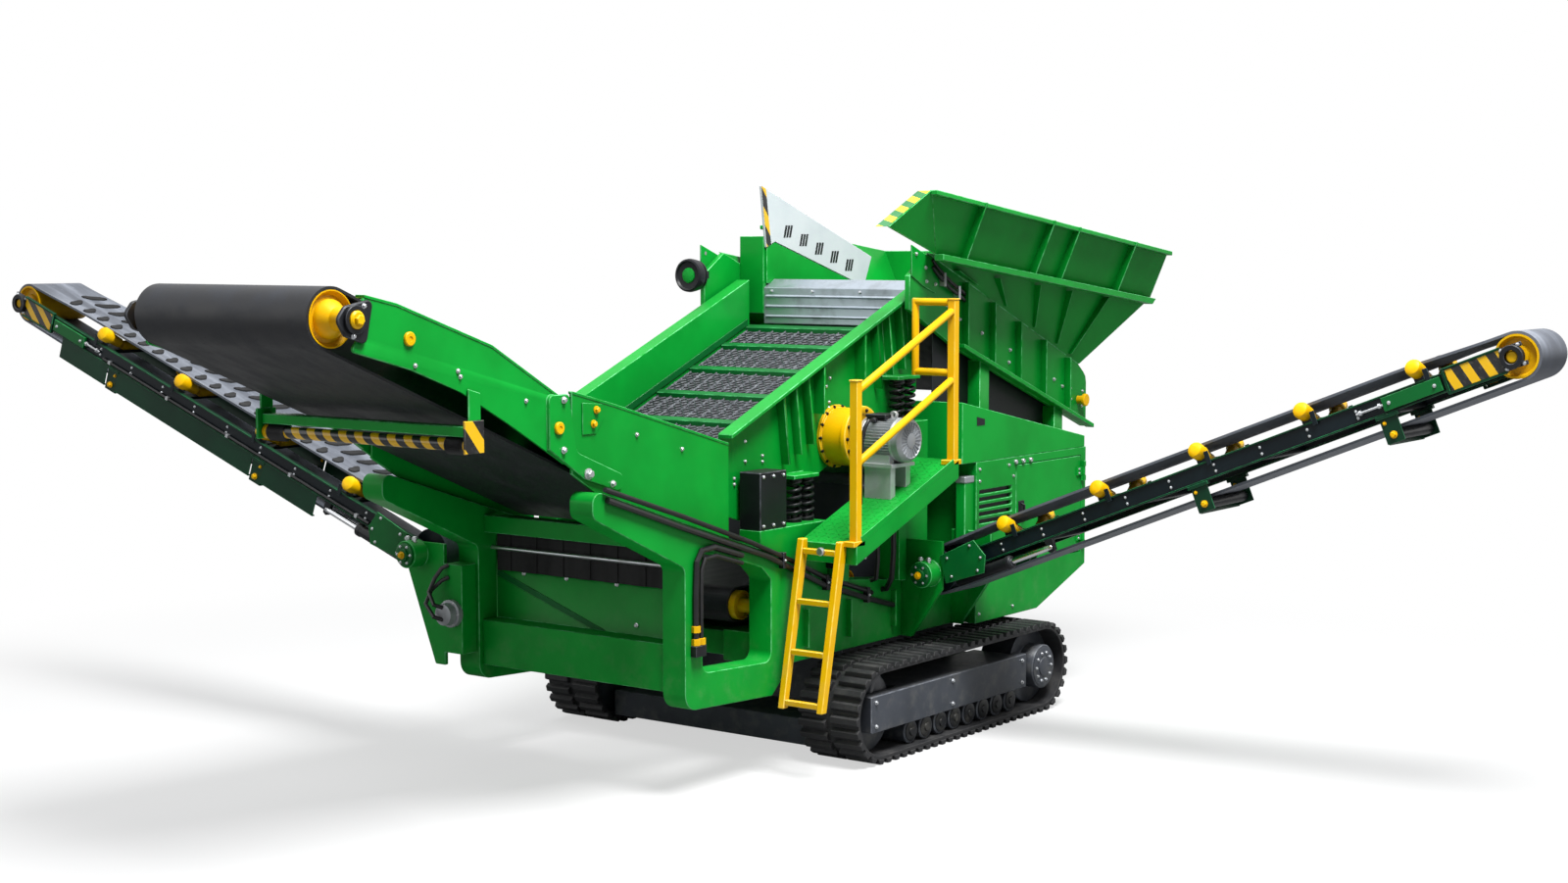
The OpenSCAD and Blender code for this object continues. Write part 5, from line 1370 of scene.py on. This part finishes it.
for s in SIDES:
    section = ((0.866, 0.15), (0.866, 0.164), (0.57, 0.142), (0.57, 0.13))
    skirts.skin([[on_feeder(u, s * w, v) for w, v in section] for u in (0.02, 1.59)])
    for i in range(8):
        at = on_feeder(0.1 + 0.2 * i, s * 0.72, 0.151)
        nuts.bolt(at, (-0.07 * s, fall, flat), 0.012)
flap = Shape().plate([(2.296, 2.352), (2.312, 2.352), (2.31, 2.318), (2.297, 2.314)], 0, -0.856, 0.856)
piece("feeder_flap", flap, curtain_rubber)
piece("feeder_skirts", skirts, slate, bevel=0.003)
piece("feeder_skirt_bolts", nuts, zinc)
print("feeder fall:", round(math.degrees(FEED_SLOPE), 1), "degrees")

# %% Feeder bolts, plates and pipes
nuts, plates, panels, pipes, stub = (Shape() for _ in range(5))
ROW = ((0.946, 2.599), (1.09, 2.58), (1.321, 2.47), (1.45, 2.433), (1.307, 2.384), (1.8, 2.293),
       (1.938, 2.236), (2.06, 2.18), (0.66, 2.7), (0.5, 2.8))
for s in SIDES:
    out = (s, 0, 0)
    nuts.side_bolts(s, 0.87, ROW, 0.014)
    plates.side_plate(s, [(0.06, 3.0), (0.06, 3.2), (0.3, 3.11), (0.4, 2.95), (0.35, 2.88), (0.2, 2.93)],
                      0.868, 0.88)
    nuts.side_bolts(s, 0.88, ((0.223, 3.05), (0.232, 2.96), (0.11, 3.14), (0.34, 2.94)), 0.013)
    panels.side_plate(s, [(0.43, 2.15), (0.43, 2.62), (0.7, 2.62), (2.06, 2.12), (2.06, 1.83)], 0.795, 0.803)
    for drop in (0.0, 0.045):
        pipes.tube([(s * 0.885, 0.3, 3.1 - drop), (s * 0.896, 0.36, 3.04 - drop),
                    (s * 0.896, 0.5, 2.955 - drop), (s * 0.896, 0.66, 2.885 - drop),
                    (s * 0.88, 0.72, 2.86 - drop)], 0.012)
    for y, z in ((0.42, 2.98), (0.6, 2.89)):
        nuts.side_slab(s, (0.868, y - 0.012, z - 0.055), (0.91, y + 0.012, z + 0.035))
    stub.lathe((s * 0.868, 2.3, 2.07), out,
               [(0, 0.03), (0.05, 0.03), (0.052, 0.046), (0.07, 0.046), (0.074, 0.04)], 28)
    nuts.side_bolts(s, 0.87, ((2.18, 2.16), (2.19, 2.08), (2.36, 2.13), (2.35, 2.02)), 0.011)
piece("feeder_bolts", nuts, zinc)
piece("feeder_plates", plates, green, bevel=0.003)
piece("feeder_belly_panels", panels, black, bevel=0.002)
piece("feeder_pipes", pipes, hose_rubber)
piece("feeder_stubs", stub, yellow)
print("feeder bolts on a side:", len(ROW) + 8)

# %% [markdown]
# ## Engine housing details
# The housing breathes through louvres. Black strips at the louvres and a small black plate above them are
# painted shade, standing for the dark openings. Doors have a grip, and their hinges are screwed on. The grips
# ride on the doors, so they swing with them.

# %% Louvres, grips and latches
LOUVRES = 5
# The black strips at each louvre and the small black plate higher up are painted shade in openings.
dark, nuts, post, cap = (Shape() for _ in range(4))
for s in SIDES:
    out = (s, 0, 0)
    for i in range(LOUVRES):
        z = 1.33 + 0.05 * i
        dark.side_slab(s, (1.019, 0.641, z + 0.0005), (1.026, 1.059, z + 0.0275))
    for y in (1.105, 1.205, 1.305):
        boss(nuts, (s * 1.05, y, 1.715), out, 0.016)
    nuts.side_bolts(s, 1.05, ((0.64, 0.72), (1.08, 0.72), (0.64, 1.7), (1.02, 1.7), (0.64, 1.62),
                              (1.08, 1.62)), 0.011)
    post.side_slab(s, (0.955, 0.49, 1.16), (1.03, 0.602, 1.62))
    cap.side_slab(s, (0.95, 0.485, 1.615), (1.035, 0.602, 1.66))
    grip, screws = Shape(), Shape()
    grip.side_slab(s, (1.048, 1.15, 1.3), (1.056, 1.225, 1.44))
    grip.tube([(s * 1.05, 1.19, 1.32), (s * 1.076, 1.19, 1.33), (s * 1.076, 1.19, 1.41),
               (s * 1.05, 1.19, 1.42)], 0.009)
    for z in (1.08, 1.55):
        for step in (0.015, 0.045):
            screws.bolt((s * 1.06, 1.985, z + step), out, 0.009)
    piece(SIDE_NAME[s] + "_door_grip", grip, black, SIDE_NAME[s] + "_door", bevel=0.002)
    piece(SIDE_NAME[s] + "_hinge_screws", screws, zinc, SIDE_NAME[s] + "_door")
    dark.side_plate(s, [(0.6, 1.995), (0.6, 2.055), (0.7, 2.035), (0.7, 1.995)], 1.048, 1.052)
piece("louvre_shade", dark, black)
piece("housing_latches", nuts, zinc)
piece("filler_posts", post, green, bevel=0.006)
piece("filler_caps", cap, casting, bevel=0.006)
print("louvres on a side:", LOUVRES)

# %% [markdown]
# ## Undercarriage details
# The drive wheel is driven by a motor in its hub, held by a ring of bolts. Road rollers carry the weight
# along the bottom run, and each ends in a small cap. The flat cover over the track frame is held at its
# corners.

# %% Hubs, roller caps and cover bolts
ROAD_ROLLERS = 8
hubs, nuts, caps = Shape(), Shape(), Shape()
for s in SIDES:
    out = (s, 0, 0)
    hubs.lathe((s * 1.26, TRACK_REAR, TRACK_R), out,
               [(-0.012, 0.136), (0.003, 0.136), (0.005, 0.124), (0.005, 0.066), (0.011, 0.062),
                (0.013, 0.03)], 40)
    nuts.bolt_ring((s * 1.264, TRACK_REAR, TRACK_R), out, 0.098, 10, 0.011)
    nuts.side_bolts(s, 1.25, ((-0.88, 0.24), (-0.88, 0.39), (0.0, 0.24), (0.0, 0.39), (0.88, 0.24),
                              (0.88, 0.39)), 0.014)
    hubs.lathe((s * 1.158, TRACK_FRONT, TRACK_R), out,
               [(0, 0.066), (0.014, 0.066), (0.02, 0.05), (0.02, 0.02)], 32)
    for i in range(ROAD_ROLLERS):
        y = -0.445 + 0.1743 * i
        caps.lathe((s * 1.218, y, 0.1325), out,
                   [(0, 0.062), (0.006, 0.062), (0.01, 0.046), (0.01, 0.028), (0.018, 0.024)], 28)
piece("track_hubs", hubs, slate)
piece("track_bolts", nuts, zinc)
piece("road_roller_caps", caps, black)
print("road rollers on a side:", ROAD_ROLLERS)

# %% [markdown]
# ## Walkway and ladder details
# A steel walkway is tread plate: rows of raised lozenges, each turned against its neighbour, so that a boot
# grips. They could be bump, but light rakes along a walkway and shows their sides, so they are low solid
# lozenges.

# %% Tread and lip
climb = math.atan2(WALK_RISE, WALK_RUN)
walk_line = slope(Vector((0, WALK_Y, WALK_Z)), (0, math.cos(climb), math.sin(climb)),
                  X, (0, -math.sin(climb), math.cos(climb)))
TREAD_ROWS, TREAD_COLUMNS = 26, 9
tread, lip, knob = Shape(walk_line), Shape(walk_line), Shape()
for i in range(TREAD_ROWS):
    for j in range(TREAD_COLUMNS):
        u, w, turn = 0.03 + 0.045 * i, 0.96 + 0.045 * j, 1 if (i + j) % 2 else -1
        rows = []
        for v, k in ((-0.001, 1.0), (0.003, 0.6)):
            ends = ((0.016, 0.016 * turn), (0.004, -0.004 * turn), (-0.016, -0.016 * turn),
                    (-0.004, 0.004 * turn))
            rows.append([(u + a * k, w + b * k, v) for a, b in ends])
        tread.skin(rows)
lip.slab((0.06, 1.343, -0.01), (1.16, 1.351, 0.03))
knob.lathe((1.132, -1.285, 1.365), FRONT, [(0, 0.012), (0.012, 0.012), (0.014, 0.026), (0.03, 0.026),
                                           (0.034, 0.02)], 24)
piece("walkway_tread", tread, green)
piece("walkway_lip", lip, green, bevel=0.002)
piece("ladder_knob", knob, zinc)
print("tread lozenges:", TREAD_ROWS * TREAD_COLUMNS)

# %% [markdown]
# ## Front end and hoses
# Rubber strips hang inside the front window and hold the dust in. The hoses are clipped to the frame, so they
# keep their shape, and end in couplings on a small block.

# %% Curtain, bar and couplings
STRIPS = 13
curtain, nuts, fold, couplings, clips = (Shape() for _ in range(5))
for i in range(STRIPS):
    x = -0.7 + 0.108 * i
    curtain.slab((x, -2.176 + 0.008 * (i % 2), 1.2), (x + 0.112, -2.169 + 0.008 * (i % 2), 1.443))
nuts.rod((-0.735, -2.19, 1.34), (0.735, -2.19, 1.34), 0.012)
fold.plate([(-0.72, 1.2), (-0.72, 1.16), (0.05, 0.905), (0.16, 0.905)], 1, -2.158, -2.149)
for x, z in ((-0.5, 1.19), (-0.15, 1.19), (0.25, 1.19), (0.62, 1.19), (0.62, 0.96), (0.4, 0.96)):
    nuts.bolt((x, -2.15, z), FRONT, 0.014)
clips.slab((0.895, -2.262, 0.84), (0.942, -2.165, 0.905))
for y, z in ((-1.4, 1.2825), (-0.95, 1.095), (-0.5, 0.96)):
    clips.slab((0.895, y - 0.014, z - 0.026), (0.938, y + 0.014, z + 0.072))
    nuts.bolt((0.938, y, z + 0.024), X, 0.009)
for y, z in ((-2.235, 0.925), (-2.235, 1.0), (-2.188, 0.925)):
    couplings.lathe((0.918, y, z), Z, [(-0.02, 0.02), (-0.018, 0.027), (0.018, 0.027), (0.02, 0.02)], 6)
lines = Shape()
lines.tube([(0.918, -3.02, 1.875), (0.918, -2.34, 1.66), (0.918, -1.72, 1.45), (0.918, -1.3, 1.29),
            (0.918, -0.95, 1.145), (0.918, -0.5, 1.01), (0.9, -0.42, 0.985)], 0.015)
lines.tube([(0.918, -1.8, 1.335), (0.918, -2.05, 1.405), (0.918, -2.15, 1.4), (0.918, -2.183, 1.34),
            (0.918, -2.188, 1.2), (0.918, -2.188, 0.9)], 0.014)
piece("frame_pipes", lines, hose_rubber)
piece("pipe_clips", clips, black, bevel=0.003)
piece("dust_curtain", curtain, curtain_rubber, bevel=0.0015)
piece("front_bolts_and_clips", nuts, zinc)
piece("front_panel_fold", fold, mid_green, bevel=0.002)
piece("hose_couplings", couplings, yellow)
gussets = Shape()
for s in SIDES:
    for y in (-1.16, -0.7, -0.2):
        gussets.side_plate(s, [(y, 0.74), (y, 0.98), (y + 0.016, 0.98), (y + 0.016, 0.74)], 0.893, 0.94)
piece("chassis_gussets", gussets, green, bevel=0.003)
bars = Shape()
for s in SIDES:
    for z in (1.525, 1.82):
        for y in (-1.56, -1.46, -1.36):
            bars.bolt((s * 0.895, y, z), (s, 0, 0), 0.011)
piece("guard_bolts", bars, zinc)
print("curtain strips:", STRIPS)

# %% [markdown]
# ## Valves and the rear
# Rigid pipes run from a bank of valves under the walkway, and the back of the engine housing breathes through
# a radiator grille. The photograph hides most of both, so they follow common practice: a block with a spool
# in each bay, and blades that shed rain.

# %% Valve bank
VALVES = 5
block, spools, runs = Shape(), Shape(), Shape()
block.slab((0.893, -0.92, 1.2), (0.975, -0.64, 1.3))
for i in range(VALVES):
    y = -0.892 + 0.056 * i
    block.slab((0.9, y - 0.022, 1.3), (0.968, y + 0.022, 1.335))
    spools.lathe((0.974, y, 1.25), X, [(0, 0.02), (0.024, 0.02), (0.03, 0.012), (0.05, 0.012),
                                       (0.052, 0.006)], 20)
    spools.lathe((0.934, y, 1.334), Z, [(0, 0.016), (0.018, 0.016)], 6)
    runs.tube([(0.934, y, 1.35), (0.934, y, 1.42), (0.934, y + 0.02, 1.47), (0.934, y + 0.1, 1.52 + 0.02 * i),
               (0.934, y + 0.2, 1.56 + 0.02 * i)], 0.011)
runs.tube([(1.06, -0.42, 1.66), (1.06, -0.41, 1.45), (1.04, -0.38, 1.25), (1.0, -0.34, 1.08),
           (0.94, -0.31, 1.0), (0.885, -0.3, 0.99)], 0.018)
runs.tube([(1.0, -0.5, 1.63), (1.0, -0.5, 1.4), (0.98, -0.47, 1.2), (0.94, -0.43, 1.08),
           (0.885, -0.42, 1.06)], 0.015)
piece("valve_block", block, black, bevel=0.003)
piece("valve_spools", spools, zinc)
piece("valve_pipes", runs, hose_rubber)
print("valves:", VALVES)

# %% Rear grille and ribs
BLADES = 11
blades, frame_bars, dark, nuts, ribs = (Shape() for _ in range(5))
# A black sheet behind the blades is painted shade for the space inside the grille.
dark.slab((-0.6, 2.099, 1.05), (0.6, 2.103, 1.62))
for z in (1.02, 1.62):
    frame_bars.slab((-0.66, 2.098, z), (0.66, 2.122, z + 0.04))
for x in (-0.66, -0.02, 0.62):
    frame_bars.slab((x, 2.099, 1.055), (x + 0.04, 2.121, 1.625))
for i in range(BLADES):
    z = 1.078 + 0.05 * i
    blades.plate([(2.101, z + 0.026), (2.101, z + 0.032), (2.12, z + 0.006), (2.12, z)], 0, -0.63, 0.63)
for x in (-0.64, -0.32, 0.32, 0.64):
    for z in (1.04, 1.64):
        nuts.bolt((x, 2.122, z), Y, 0.011)
for x in (-0.92, 0.92):
    for z in (1.1, 1.6):
        nuts.bolt((x, 2.1, z), Y, 0.013)
for x in (-0.9, -0.45, -0.007, 0.436, 0.886):
    ribs.plate([(2.935, 2.82), (2.932, 3.14), (2.964, 3.14), (2.964, 2.84)], 0, x, x + 0.014)
    low = x * 0.85
    ribs.plate([(2.36, 2.365), (2.92, 2.786), (2.944, 2.754), (2.374, 2.346)], 0, low, low + 0.014)
ribs.slab((-1.2, 2.931, 3.118), (1.2, 2.968, 3.15))
ribs.slab((-1.08, 2.934, 2.79), (1.08, 2.966, 2.822))
piece("rear_grille_shade", dark, black)
piece("rear_grille_blades", blades, green)
piece("rear_grille_frame", frame_bars, green, bevel=0.004)
piece("rear_bolts", nuts, zinc)
piece("hopper_rear_ribs", ribs, green, bevel=0.003)
print("grille blades:", BLADES)

# %% [markdown]
# ## Camera and light
# The camera stands where the photograph was taken: low, off the front corner, with a longish lens. The light
# is a plain studio: a broad lamp high on the right, a wide one overhead, a weak one in front and an even
# surround. The background is white to the camera and in reflections, while the surround that lights the
# machine stays moderate.

# %% Camera
view = bpy.data.cameras.new("camera")
view.lens = 51.66
view.clip_end = 300
camera = bpy.data.objects.new("camera", view)
camera.location = MIDDLE + Vector((8.92, -12.2, 3.2))
camera.rotation_euler = (math.radians(85), 0, math.radians(36.5))
bpy.context.collection.objects.link(camera)
bpy.context.scene.camera = camera
bpy.context.scene.view_settings.view_transform = "Standard"
print("camera at", [round(c, 2) for c in camera.location])

# %% Lamps
def lamp(name, at, size, watts):
    """A square soft box that faces the machine."""
    light = bpy.data.lights.new(name, "AREA")
    light.size, light.energy = size, watts
    made = bpy.data.objects.new(name, light)
    made.location = MIDDLE + Vector(at)
    made.rotation_euler = (Vector((0, -0.8, 1.4)) - Vector(at)).to_track_quat("-Z", "Y").to_euler()
    bpy.context.collection.objects.link(made)


LAMPS = (("key", (6.2, -3.4, 14), 5, 3400), ("overhead", (-2, -1, 12), 8, 300),
         ("front_fill", (-6, -11, 5), 6, 70))
for name, at, size, watts in LAMPS:
    lamp(name, at, size, watts)
print("lamps:", len(LAMPS))

# %% Surround and floor
def white_to_camera(tree, lit, outlet, inlet):
    """Shows white to the camera, in reflections and through glass, and something else to other rays."""
    path = tree.nodes.new("ShaderNodeLightPath")
    seen, mixed = tree.nodes.new("ShaderNodeMath"), tree.nodes.new("ShaderNodeMixShader")
    either = tree.nodes.new("ShaderNodeMath")
    for node in (seen, either):
        node.operation = "MAXIMUM"
    tree.links.new(path.outputs["Is Camera Ray"], seen.inputs[0])
    tree.links.new(path.outputs["Is Glossy Ray"], seen.inputs[1])
    tree.links.new(seen.outputs[0], either.inputs[0])
    tree.links.new(path.outputs["Is Transmission Ray"], either.inputs[1])
    tree.links.new(either.outputs[0], mixed.inputs[0])
    tree.links.new(lit.outputs[0], mixed.inputs[1])
    tree.links.new(outlet.outputs[0], mixed.inputs[2])
    tree.links.new(mixed.outputs[0], inlet)


world = bpy.data.worlds.new("surround")
bpy.context.scene.world = world
world.use_nodes = True
ambient = world.node_tree.nodes["Background"]
ambient.inputs["Color"].default_value = (0.9, 0.95, 1.0, 1.0)
ambient.inputs["Strength"].default_value = 0.22
bright = world.node_tree.nodes.new("ShaderNodeBackground")
bright.inputs["Color"].default_value = (1, 1, 1, 1)
white_to_camera(world.node_tree, ambient, bright, world.node_tree.nodes["World Output"].inputs["Surface"])

floor_mesh = bpy.data.meshes.new("floor")
floor_mesh.from_pydata([MIDDLE + Vector((x, y, -0.001))
                        for x, y in ((-60, -60), (60, -60), (60, 60), (-60, 60))], [], [(0, 1, 2, 3)])
floor = bpy.data.objects.new("floor", floor_mesh)
bpy.context.collection.objects.link(floor)
floor_finish = Finish("pale_floor", "white_paint", Roughness=0.9)
distance = floor_finish.node("ShaderNodeVectorMath", {"operation": "DISTANCE"},
                             {0: floor_finish.place, 1: MIDDLE + Vector((0, -1, 0))}, "Value")
FADE_FROM, FADE_TO = 4.0, 8.0
far_off = floor_finish.ramp(distance, FADE_FROM, FADE_TO)
glow = floor_finish.tree.nodes.new("ShaderNodeEmission")
shown = floor_finish.tree.nodes.new("ShaderNodeMixShader")
to_camera = floor_finish.node("ShaderNodeLightPath", {}, {}, "Is Camera Ray")
floor_finish.feed("Base Color", floor_finish.mix(to_camera, tint(150, 150, 150), tint(236, 236, 236)))
floor_finish.tree.links.new((to_camera * (0.6 + 0.4 * far_off)).socket, shown.inputs[0])
floor_finish.tree.links.new(floor_finish.shader.outputs[0], shown.inputs[1])
floor_finish.tree.links.new(glow.outputs[0], shown.inputs[2])
floor_finish.tree.links.new(shown.outputs[0], floor_finish.tree.nodes["Material Output"].inputs["Surface"])
floor_mesh.materials.append(floor_finish.material)
print("floor fades to white beyond", FADE_TO, "m")
